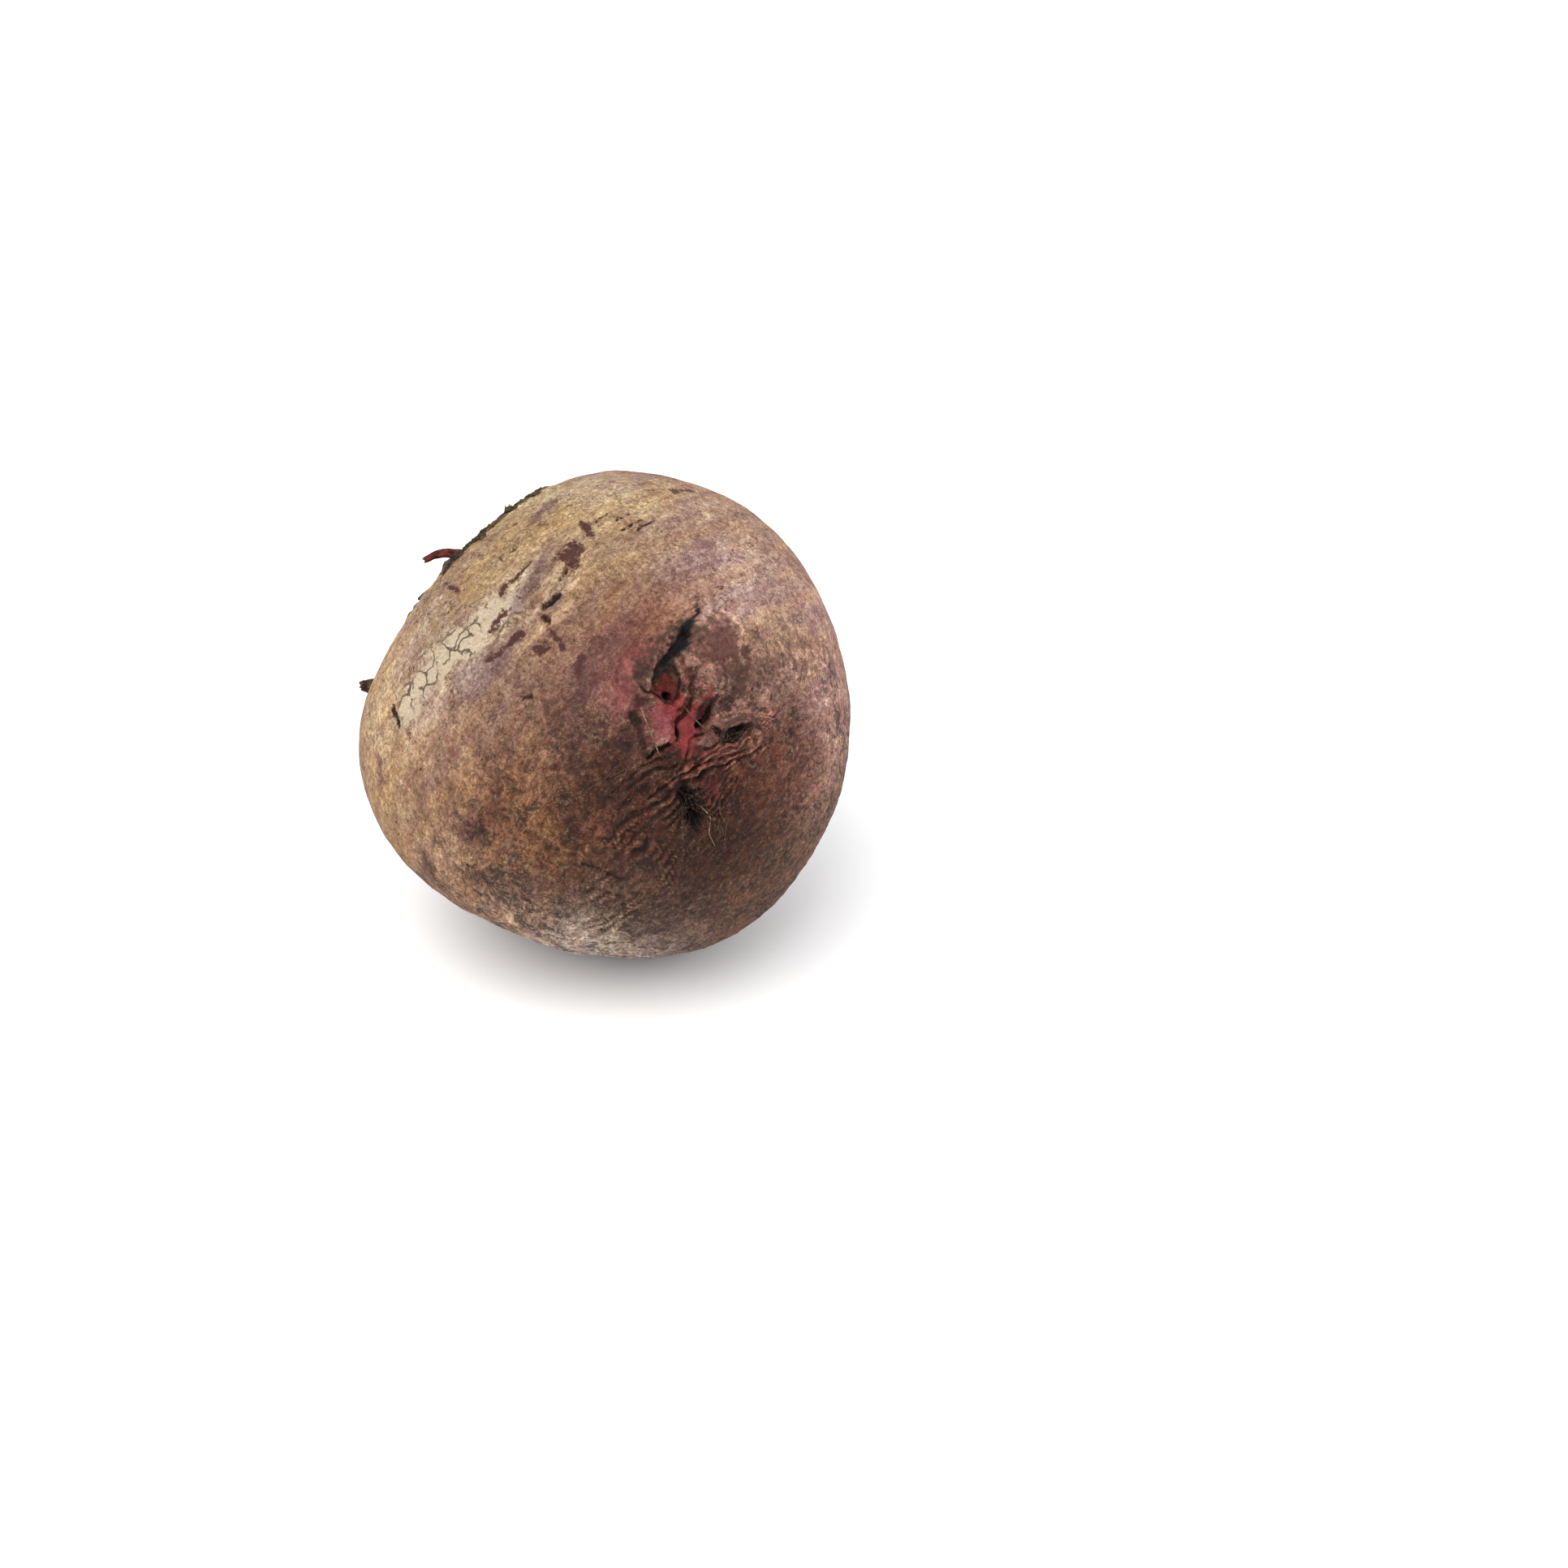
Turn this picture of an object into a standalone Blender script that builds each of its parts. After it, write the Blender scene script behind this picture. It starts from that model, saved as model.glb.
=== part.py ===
"""A whole beetroot with its leaves trimmed off, lying on its side on the small flat spot it rests on.

The origin is on that flat spot, straight under the middle of the root, and +Z is up. Seen from -Y, the
flat crown faces left and away, and the pinched hollow that the taproot grew from faces the viewer.
"""

import math

import bmesh
import bpy
from mathutils import Vector

MM = 0.001

# The swollen root
ROOT_RADIUS = 42 * MM
REST_PRESS = 1 * MM  # how far the skin is pressed in where the root rests
REST_HEIGHT = ROOT_RADIUS - REST_PRESS  # from the flat spot up to the middle of the root
CROWN_CUT = 10.3 * MM  # how much lower the flat crown is than a round one
CROWN_HEIGHT = ROOT_RADIUS - CROWN_CUT  # from the middle of the root to the flat crown
CROWN_EDGE = 2.1 * MM  # how softly the crown rounds over into the shoulder
SCAR_RADIUS = 22 * MM  # of the outer ring of leaf scars on the crown
SCAR_WIDTH = 3 * MM
SCAR_HEIGHT = 0.8 * MM
BUD_RADIUS = 7 * MM  # the sunken middle of the crown, where the last leaves grew
BUD_DEPTH = 1.6 * MM
HOLLOW_LENGTH = 17 * MM
HOLLOW_WIDTH = 8 * MM
HOLLOW_DEPTH = 1.9 * MM
BOWL_RADIUS = 5.6 * MM  # the deeper bowl in the upper left of the hollow
BOWL_DEPTH = 1.3 * MM
BOWL_ACROSS = -1.6 * MM  # from the middle of the hollow
BOWL_ALONG = 2.6 * MM

# Leaf stalks and rootlets
STALK_RADIUS = 1.1 * MM
ROOTLET_RADIUS = 0.35 * MM
TAPROOT_RADIUS = 0.8 * MM
CLEARANCE = 0.5 * MM  # between a stalk's or rootlet's surface and the skin under it

# Mesh fineness
SPHERE_CUTS = 19
FINE_MARGIN = 4 * MM
ROUND_SIDES = 2  # the curve bevel's resolution, which gives a stalk or rootlet eight sides
STALK_STEPS = 3  # points along a stalk between two of its stops
ROOTLET_STEPS = 4
SHARP_ANGLE = 40  # degrees; only the rim of the flat spot could be sharper
SNAP = 0.05 * MM
TINY = 1e-9
NEARBY = 0.02  # in radians, how far apart points are taken to find which way the skin faces
CROWN_SIDE = 0.3  # the crown's flat face has no say where the skin leans further from it than this cosine


def heading(turn, lift):
    """Unit vector at turn degrees from +X, seen from above, and lift degrees above the horizon."""
    turn, lift = math.radians(turn), math.radians(lift)
    return Vector((math.cos(turn) * math.cos(lift), math.sin(turn) * math.cos(lift), math.sin(lift)))


CROWN = heading(141, 25)
HOLLOW = heading(-67, 26)

# (heading, how far the skin stands out or in, how many degrees wide)
SWELLINGS = (
    (heading(-169, -17), 0.8 * MM, 22),  # lower left cheek
    (heading(37, 44), 1.7 * MM, 26),  # upper right cheek
    (heading(-45, -52), 1.4 * MM, 22),  # lower right cheek
    (heading(100, 60), 0.4 * MM, 20),  # upper back
    (heading(-137, -47), -2.3 * MM, 20),  # pressed side, low on the left
    (heading(-88, -60), -1.7 * MM, 24),  # flatter underside at the front
    (heading(-118, 58), -0.9 * MM, 10),  # dent round the scar of a side root
    (heading(-42, 42), 0.9 * MM, 9),  # lobe above the hollow
    (heading(95, -30), -1.1 * MM, 24),  # slight flat at the back
)


def tangents(way):
    """The unit vectors to the right and up at a place on the skin, seen from outside."""
    right = Vector((0, 0, 1)).cross(way).normalized()
    return right, way.cross(right)


def bell(x):
    return math.exp(-x * x)


def place_round(way, middle):
    """How far a heading lies to the right of and above a middle, measured along the skin."""
    right, up = tangents(middle)
    across, along = way.dot(right), way.dot(up)
    scale = ROOT_RADIUS * way.angle(middle) / max(math.hypot(across, along), TINY)
    return across * scale, along * scale


def soft_least(a, b, softness):
    """The lesser of two lengths, rounded where they meet."""
    return -softness * math.log(math.exp(-a / softness) + math.exp(-b / softness))


def crown_relief(way):
    """Height of the two corky rings of leaf scars, and depth of the bud in their middle."""
    facing = way.dot(CROWN)
    if facing < CROWN_SIDE:
        return 0.0
    away = CROWN_HEIGHT * math.tan(math.acos(min(facing, 1.0)))
    outer = SCAR_HEIGHT * bell((away - SCAR_RADIUS) / SCAR_WIDTH)
    inner = SCAR_HEIGHT * bell((away - (SCAR_RADIUS + BUD_RADIUS) / 2) / SCAR_WIDTH)
    return outer + inner - BUD_DEPTH * bell(away / BUD_RADIUS)


def hollow_relief(way):
    """Depth of the pinched hollow and of the bowl in its upper half."""
    across, along = place_round(way, HOLLOW)
    valley = bell(across / HOLLOW_WIDTH) * bell(along / HOLLOW_LENGTH)
    bowl = bell(math.hypot(across - BOWL_ACROSS, along - BOWL_ALONG) / BOWL_RADIUS)
    return -HOLLOW_DEPTH * valley - BOWL_DEPTH * bowl


def skin_radius(way):
    """Distance from the middle of the root to its skin in a direction."""
    radius = ROOT_RADIUS
    for middle, height, width in SWELLINGS:
        radius += height * bell(math.degrees(way.angle(middle)) / width)
    facing = way.dot(CROWN)
    if facing > CROWN_SIDE:
        radius = soft_least(radius, CROWN_HEIGHT / facing, CROWN_EDGE)
    return radius + crown_relief(way) + hollow_relief(way)


def skin_point(way):
    """The point on the skin that lies at a heading from the middle of the root."""
    return way * skin_radius(way) + Vector((0, 0, REST_HEIGHT))


def skin_normal(way):
    """The direction that the skin faces at a heading, from the points close round it."""
    right, up = (side * NEARBY for side in tangents(way))
    across = skin_point((way + right).normalized()) - skin_point((way - right).normalized())
    along = skin_point((way + up).normalized()) - skin_point((way - up).normalized())
    return across.cross(along).normalized()


def material(name, colour, roughness):
    made = bpy.data.materials.new(name)
    made.use_nodes = True
    shader = made.node_tree.nodes["Principled BSDF"]
    shader.inputs["Base Color"].default_value = (*colour, 1)
    shader.inputs["Roughness"].default_value = roughness
    shader.inputs["Metallic"].default_value = 0
    return made


def add_object(name, data, collection, finish):
    data.materials.append(finish)
    made = bpy.data.objects.new(name, data)
    collection.objects.link(made)


def refine(bm, middle, reach):
    """Halves the faces within reach of a place on the unit sphere, so that its relief has enough points."""
    edges = [e for e in bm.edges if all(ROOT_RADIUS * v.co.angle(middle) < reach for v in e.verts)]
    bmesh.ops.subdivide_edges(bm, edges=edges, cuts=1, use_grid_fill=True)
    for vert in bm.verts:
        vert.co.normalize()


def even_out(x):
    """Spreads the points of a cube's face so that they lie evenly on a sphere."""
    return math.tan(x * math.pi / 4)


def swollen_root(collection, finish):
    """The root itself: a rounded cube, shaped to the skin and cut flat where it rests."""
    bm = bmesh.new()
    bmesh.ops.create_cube(bm, size=2)
    bmesh.ops.subdivide_edges(bm, edges=bm.edges[:], cuts=SPHERE_CUTS, use_grid_fill=True)
    for vert in bm.verts:
        vert.co = Vector(map(even_out, vert.co)).normalized()
    refine(bm, CROWN, SCAR_RADIUS + FINE_MARGIN)
    refine(bm, HOLLOW, HOLLOW_LENGTH)
    for vert in bm.verts:
        vert.co = skin_point(vert.co)
    cut = bmesh.ops.bisect_plane(
        bm,
        geom=bm.verts[:] + bm.edges[:] + bm.faces[:],
        dist=SNAP,
        plane_co=(0, 0, 0),
        plane_no=(0, 0, -1),
        clear_outer=True,
    )
    rim = [e for e in cut["geom_cut"] if isinstance(e, bmesh.types.BMEdge)]
    bmesh.ops.contextual_create(bm, geom=rim)
    bmesh.ops.recalc_face_normals(bm, faces=bm.faces[:])
    mesh = bpy.data.meshes.new("swollen_root")
    bm.to_mesh(mesh)
    bm.free()
    mesh.shade_smooth()
    mesh.set_sharp_from_angle(angle=math.radians(SHARP_ANGLE))
    add_object("swollen_root", mesh, collection, finish)


def tapered(name, points, radii, collection, finish):
    """A round stalk or rootlet through the points, with its own radius at each."""
    curve = bpy.data.curves.new(name, "CURVE")
    curve.dimensions = "3D"
    curve.bevel_depth = 1.0
    curve.bevel_resolution = ROUND_SIDES
    curve.use_fill_caps = True
    spline = curve.splines.new("POLY")
    spline.points.add(len(points) - 1)
    for place, point, radius in zip(spline.points, points, radii):
        place.co = (*point, 1)
        place.radius = radius
    add_object(name, curve, collection, finish)


def crown_side(clock):
    """Unit vector along the crown's flat face, at a clock angle from its right-hand side."""
    right, up = tangents(CROWN)
    return right * math.cos(math.radians(clock)) + up * math.sin(math.radians(clock))


def crown_heading(clock, away):
    """Heading of a place on the crown's flat face, at a clock angle and a distance from its middle."""
    return (CROWN * CROWN_HEIGHT + crown_side(clock) * away).normalized()


def hollow_heading(across, along):
    """Heading at a place to the right of and above the middle of the hollow."""
    right, up = tangents(HOLLOW)
    away = math.hypot(across, along)
    if away == 0:
        return HOLLOW.copy()
    side = (right * across + up * along) / away
    return HOLLOW * math.cos(away / ROOT_RADIUS) + side * math.sin(away / ROOT_RADIUS)


def smooth_route(stops, steps):
    """Points along one smooth curve through the stops (Catmull-Rom)."""
    ends = [stops[0] * 2 - stops[1], *stops, stops[-1] * 2 - stops[-2]]
    route = []
    for a, b, c, d in zip(ends, ends[1:], ends[2:], ends[3:]):
        for step in range(steps):
            t = step / steps
            bend = (a * 2 - b * 5 + c * 4 - d) * t**2 + (b * 3 - a - c * 3 + d) * t**3
            route.append(b + ((c - a) * t + bend) / 2)
    return route + [stops[-1]]


# Leaf stalk stubs: (name, clock angle, distance out from the outer ring of scars, length, thickness,
# share of its length that it leans over, clock angle that it leans to)
STALKS = (
    ("leaf_stalk_red", 58, 2.0 * MM, 5.2 * MM, 0.8, 0.9, -40),
    ("leaf_stalk_dry_side", -13, 4.0 * MM, 1.8 * MM, 1.3, 0.5, 20),
    ("leaf_stalk_dry_top", 86, 2.0 * MM, 1.6 * MM, 1.0, 0.3, 86),
    ("leaf_stalk_low", -75, -1.5 * MM, 3.6 * MM, 1.4, 0.5, -60),
    ("leaf_stalk_back", -128, 0.5 * MM, 4.4 * MM, 1.2, 0.5, -140),
    ("leaf_stalk_right", 158, -1.0 * MM, 3.2 * MM, 1.3, 0.4, 170),
    ("leaf_stalk_inner_a", 95, -13.0 * MM, 3.0 * MM, 0.9, 0.2, 60),
    ("leaf_stalk_inner_b", -140, -12.0 * MM, 3.8 * MM, 1.0, 0.3, -150),
    ("leaf_stalk_inner_c", -20, -13.5 * MM, 2.4 * MM, 0.8, 0.2, 0),
)
STALK_TAPER = 0.45  # share of its foot's radius that a stub loses by its tip


def leaf_stalks(collection, finish):
    """Short stubs left where the leaves were cut, growing out of the skin and then leaning over."""
    for name, clock, beyond, length, thickness, bend, lean_clock in STALKS:
        foot = crown_heading(clock, SCAR_RADIUS + beyond)
        normal = skin_normal(foot)
        lean = crown_side(lean_clock) * bend * length
        start = skin_point(foot) + normal * CLEARANCE
        stops = [
            start,
            start + normal * 0.4 * length,
            start + normal * 0.75 * length + lean * 0.4,
            start + normal * (1 - 0.3 * bend) * length + lean,
        ]
        points = smooth_route(stops, STALK_STEPS)
        radius = STALK_RADIUS * thickness
        radii = [radius * (1 - STALK_TAPER * i / (len(points) - 1)) for i in range(len(points))]
        tapered(name, points, radii, collection, finish)


# Rootlets in the hollow: (name, radius, places to the right of and above its middle in mm)
ROOTLETS = (
    ("taproot_tip", TAPROOT_RADIUS, ((6.0, -5.0), (6.4, -2.0), (8.2, -0.4), (10.6, -0.6), (12.2, -2.6))),
    ("rootlet_pale", ROOTLET_RADIUS, ((-8.0, 5.6), (-7.4, 2.6), (-6.9, -0.4), (-6.6, -2.6))),
    ("rootlet_brown", ROOTLET_RADIUS, ((-0.4, 4.6), (1.4, 1.8), (3.2, -0.4), (5.2, -2.2))),
    ("rootlet_lower_a", ROOTLET_RADIUS, ((-0.6, -12.6), (0.8, -14.8), (0.2, -17.4), (1.4, -20.4))),
    ("rootlet_lower_b", ROOTLET_RADIUS, ((3.0, -12.0), (2.6, -14.4), (3.6, -17.0), (3.2, -19.6))),
)
ROOTLET_TAPER = 0.5  # share of its radius that a rootlet loses by its tip


def rootlets(collection, finish):
    """Thin roots that lie along the skin of the hollow."""
    for name, radius, places in ROOTLETS:
        ways = [hollow_heading(x * MM, y * MM) for x, y in places]
        stops = [skin_point(way) + skin_normal(way) * (radius + CLEARANCE) for way in ways]
        points = smooth_route(stops, ROOTLET_STEPS)
        radii = [radius * (1 - ROOTLET_TAPER * i / (len(points) - 1)) for i in range(len(points))]
        tapered(name, points, radii, collection, finish)


def main():
    for old in list(bpy.data.objects):
        bpy.data.objects.remove(old)
    beetroot = bpy.data.collections.new("beetroot")
    bpy.context.scene.collection.children.link(beetroot)
    skin = material("beet_skin", (0.30, 0.18, 0.125), 0.75)
    stalk = material("leaf_stalk", (0.12, 0.035, 0.03), 0.6)
    fibre = material("rootlet_fibre", (0.28, 0.17, 0.10), 0.8)
    swollen_root(beetroot, skin)
    leaf_stalks(beetroot, stalk)
    rootlets(beetroot, fibre)


main()
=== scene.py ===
import math
import random

import bmesh
import bpy
import numpy as np
from mathutils import Matrix, Vector, noise
from mathutils.bvhtree import BVHTree


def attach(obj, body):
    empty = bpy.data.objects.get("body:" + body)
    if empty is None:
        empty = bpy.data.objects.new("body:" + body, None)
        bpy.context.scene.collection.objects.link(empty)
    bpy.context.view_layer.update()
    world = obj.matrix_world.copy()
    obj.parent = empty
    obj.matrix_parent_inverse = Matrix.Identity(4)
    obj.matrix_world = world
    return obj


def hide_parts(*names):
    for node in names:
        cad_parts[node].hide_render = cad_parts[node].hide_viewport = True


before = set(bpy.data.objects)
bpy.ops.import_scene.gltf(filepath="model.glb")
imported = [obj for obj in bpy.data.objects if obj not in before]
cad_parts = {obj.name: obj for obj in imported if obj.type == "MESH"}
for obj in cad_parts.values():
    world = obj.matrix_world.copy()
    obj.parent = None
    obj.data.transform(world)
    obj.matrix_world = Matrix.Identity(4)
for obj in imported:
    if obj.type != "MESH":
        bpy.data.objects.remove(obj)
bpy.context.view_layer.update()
print("frame loaded")

mm = 0.001

# the root's own layout: headings are (turn from +X seen from above, lift above the horizon) in degrees
rootPlan = {
    "radius": 42 * mm,
    "middleHeight": 41 * mm,  # above the flat spot that it rests on
    "crown": (141, 25),
    "crownHeight": 31.7 * mm,  # of the flat face that the leaves grew from, from the root's middle
    "scarRadius": 22 * mm,  # of the outer ring of leaf scars
    "hollow": (-67, 26),
}

viewPlan = {
    "elevation": 32,  # degrees down on the beetroot
    "distance": 0.745,  # from the root's middle
    "lens": 100,
    "sensor": 36,
    "aimRight": 30.3 * mm,  # the camera looks to the right of the root's middle, and a little below it
    "aimDown": 11.7 * mm,
}

lightPlan = {
    "key": {"place": (-0.34, -0.5, 0.95), "size": 1.0, "power": 11.0, "colour": (1.0, 0.985, 0.955)},
    "fill": {"place": (1.0, -0.45, 0.5), "size": 0.9, "power": 3.2, "colour": (0.97, 0.98, 1.0)},
    "room": 1.06,
    "roomColour": (0.98, 0.99, 1.0),
    "floorColour": (0.95, 0.95, 0.955),
}


def heading(turn, lift):
    turn, lift = math.radians(turn), math.radians(lift)
    return np.array([math.cos(turn) * math.cos(lift), math.sin(turn) * math.cos(lift), math.sin(lift)])


def sidesOf(way):  # the unit vectors to the right and up on the skin there, seen from outside
    right = np.cross([0.0, 0.0, 1.0], way)
    right = right / np.linalg.norm(right)
    return right, np.cross(way, right)


rootMiddle = np.array([0.0, 0.0, rootPlan["middleHeight"]])
crownWay = heading(*rootPlan["crown"])
hollowWay = heading(*rootPlan["hollow"])


# camera, light and floor
def addCamera():
    lift = math.radians(viewPlan["elevation"])
    ahead = Vector((0, math.cos(lift), -math.sin(lift)))
    upward = Vector((0, math.sin(lift), math.cos(lift)))
    place = Vector(rootMiddle) - ahead * viewPlan["distance"]
    aim = Vector(rootMiddle) + Vector((viewPlan["aimRight"], 0, 0)) - upward * viewPlan["aimDown"]
    data = bpy.data.cameras.new("camera")
    data.lens = viewPlan["lens"]
    data.sensor_width = viewPlan["sensor"]
    data.clip_start = 0.01
    camera = bpy.data.objects.new("camera", data)
    camera.location = place
    camera.rotation_euler = (aim - place).to_track_quat("-Z", "Y").to_euler()
    bpy.context.scene.collection.objects.link(camera)
    bpy.context.scene.camera = camera


def addLight(name, plan):
    data = bpy.data.lights.new(name, "AREA")
    data.energy = plan["power"]
    data.size = plan["size"]
    data.color = plan["colour"]
    light = bpy.data.objects.new(name, data)
    light.location = plan["place"]
    light.rotation_euler = (Vector(rootMiddle) - light.location).to_track_quat("-Z", "Y").to_euler()
    bpy.context.scene.collection.objects.link(light)


def addStage():
    world = bpy.data.worlds.new("studio")
    bpy.context.scene.world = world
    world.use_nodes = True
    sky = world.node_tree.nodes["Background"]
    sky.inputs["Color"].default_value = (*lightPlan["roomColour"], 1)
    sky.inputs["Strength"].default_value = lightPlan["room"]
    bm = bmesh.new()
    bmesh.ops.create_grid(bm, x_segments=2, y_segments=2, size=3.0)
    mesh = bpy.data.meshes.new("floor")
    bm.to_mesh(mesh)
    bm.free()
    floor = bpy.data.objects.new("floor", mesh)
    bpy.context.scene.collection.objects.link(floor)
    finish = bpy.data.materials.new("paleFloor")
    finish.use_nodes = True
    shader = finish.node_tree.nodes["Principled BSDF"]
    shader.inputs["Base Color"].default_value = (*lightPlan["floorColour"], 1)
    shader.inputs["Roughness"].default_value = 0.9
    mesh.materials.append(finish)


addCamera()
addLight("keyLight", lightPlan["key"])
addLight("fillLight", lightPlan["fill"])
addStage()
bpy.context.scene.view_settings.view_transform = "Standard"
print("camera, light and floor set")


# small tools for shapes
def bell(x):  # 1 at zero, dying away on both sides
    return np.exp(-x * x)


def ease(x, low, high):  # 0 below low, 1 above high, smooth between
    t = np.clip((x - low) / (high - low), 0, 1)
    return t * t * (3 - 2 * t)


def grain(points, size, seed):  # soft noise from -1 to 1, with lumps of about that size
    shifted = points / size + seed * 13.7
    return np.array([noise.noise(point) for point in shifted.tolist()])


def roughGrain(points, size, seed, layers=4):  # soft noise with finer and weaker layers on top
    total, share = np.zeros(len(points)), 1.0
    for layer in range(layers):
        total += share * grain(points, size / 2**layer, seed + layer)
        share *= 0.55
    return total


def strokeField(ways, stroke):
    # 1 along the middle of a stroke between two headings, 0 at its edge, down to -2 outside
    turnA, liftA, turnB, liftB, width = stroke
    a, b = heading(turnA, liftA) * rootPlan["radius"], heading(turnB, liftB) * rootPlan["radius"]
    spots = ways * rootPlan["radius"]
    along = np.clip((spots - a) @ (b - a) / max((b - a) @ (b - a), 1e-12), 0, 1)
    away = np.linalg.norm(spots - a - along[:, None] * (b - a), axis=1)
    return np.maximum(1 - away / (width * mm), -2)


def strokesField(ways, strokes):
    return np.max([strokeField(ways, stroke) for stroke in strokes], axis=0)


def placeRound(ways, middle):  # mm to the right of and above a middle, along the skin
    right, up = sidesOf(middle)
    across, along = ways @ right, ways @ up
    angle = np.arccos(np.clip(ways @ middle, -1, 1))
    scale = rootPlan["radius"] / mm * angle / np.maximum(np.hypot(across, along), 1e-9)
    return across * scale, along * scale


def pathField(u, v, stops, width):  # as strokeField, in mm on the flat, along a path of several stops
    best = np.full(len(u), -2.0)
    for (u0, v0), (u1, v1) in zip(stops, stops[1:]):
        du, dv = u1 - u0, v1 - v0
        t = np.clip(((u - u0) * du + (v - v0) * dv) / (du * du + dv * dv), 0, 1)
        away = np.hypot(u - u0 - t * du, v - v0 - t * dv)
        best = np.maximum(best, 1 - away / width)
    return best


def ovalField(u, v, oval):  # 1 in the middle of a tilted oval, 0 at its edge
    u0, v0, halfAcross, halfAlong, tilt = oval
    c, s = math.cos(math.radians(tilt)), math.sin(math.radians(tilt))
    x, y = (u - u0) * c + (v - v0) * s, (v - v0) * c - (u - u0) * s
    return np.maximum(1 - np.hypot(x / halfAcross, y / halfAlong), -2)


def growthLines(ways):
    # how far from the crown, in radians, and the way round it; the skin grew in rings about the crown
    right, up = sidesOf(crownWay)
    across, along = ways @ right, ways @ up
    return np.arccos(np.clip(ways @ crownWay, -1, 1)), across, along


# what lies where on the skin; a stroke is (turn, lift, turn, lift, half width in mm)
skinPlan = {
    "cuts": 61,  # across each side of the cube that the net starts from
    "relaxSteps": (18, 3),  # before and after the finer places are cut
    "finer": (  # heading, how far round it and how long the edges are that get halved, in mm
        ((-90, 32), 62, 0.66),
        ((141, 25), 28, 0.66),
        ((-68, 28), 17, 0.33),
        ((-67, 29), 11, 0.165),
    ),
    "bareSkin": (  # maroon patches where the outer skin came off
        (-117, 71, -109, 73, 1.4), (-114, 74, -107, 69, 1.1), (-136, 57, -135, 67, 0.45),
        (-124, 45, -120, 49, 0.8), (-127, 42, -125, 44, 0.6), (-111, 47, -110, 48, 0.8),
        (-109, 52, -103, 47, 0.5), (-97, 46, -97, 42, 0.9), (-118, 82, -101, 78, 0.65),
        (32, 70, 36, 63, 0.6), (-164, 50, -153, 51, 0.5), (-131, 48, -130, 54, 0.5),
    ),
    "smudges": (  # soft purple-grey patches
        (-126, 56, -124, 67, 2.3), (-157, 7, -153, 3, 1.9), (-124, 0, -116, 9, 3.0),
        (-139, -10, -139, -19, 2.2), (-99, 9, -97, 7, 1.9), (-170, 75, 158, 79, 1.3),
    ),
    "redDots": ((-142, 6, -137, 16, 1.9), (-133, 23, -129, 18, 1.1)),  # scattered maroon specks
    "knotHoles": ((-116, 58, -111, 60, 0.8), (-113, 55, -110, 54, 0.6), (-113, 65, -111, 68, 0.3)),
    "knotWrinkles": (
        (-119, 52, -116, 61, 0.5), (-112, 52, -103, 59, 0.5), (-115, 48, -104, 56, 0.6),
        (-106, 61, -103, 66, 0.4),
    ),
    "brownTicks": (
        (-153, 20, -149, 18, 0.8), (-113, 36, -110, 36, 0.5), (-60, 79, -30, 79, 0.4),
        (-50, 77, -21, 77, 0.4), (-57, 83, -27, 83, 0.35), (-98, 84, -69, 86, 0.35),
    ),
    "creamPatch": ((-148, 23, -131, 53, 5.4),),  # pale and dry, with a web of cracks
    "orangeShoulder": ((-158, 46, 129, 79, 12.0),),  # flecked with orange and brown
    "cracks": (
        (-96, -2, -90, -5, 0.35), (-90, -5, -85, -7, 0.35), (-93, -9, -87, -12, 0.35),
        (-83, -8, -79, -7, 0.3),
    ),
}

# how uneven the skin is, heights and widths in mm
unevenPlan = {
    "lumps": {"height": 0.22, "width": 14},
    "dimples": {"height": 0.06, "width": 3.4},
    "bands": {"height": 0.07, "perRadian": 40, "swing": 3.2, "swingWidth": 11, "patchWidth": 12},
    "grit": {"width": 1.5, "height": 0.02, "dirtyHeight": 0.12},
    "underside": {"width": 3.6, "height": 0.3},
    "crumple": {"wide": (3.4, 0.34), "fine": (1.5, 0.2), "drop": 0.3},
    "ragged": {"width": 1.4, "height": 0.5},
    "bareDepth": 0.1,
    "knotDepth": 0.8,
    "wrinkleHeight": 0.26,
    "tickDepth": 0.2,
    "crackDepth": 0.3,
    "dirtyHeading": (-62, -32),  # the middle of the dirty side
    "hollowReach": (14, 15),  # half width and half height of the crumpled skin round the hollow
    "flatMargin": (0.15, 2.2),  # heights above the floor over which the unevenness sets in
    "outlineShove": ((3.2, 0.75, 71), (1.1, 0.3, 75)),  # how wide and far the marks' outlines wander, and seeds
}

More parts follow.
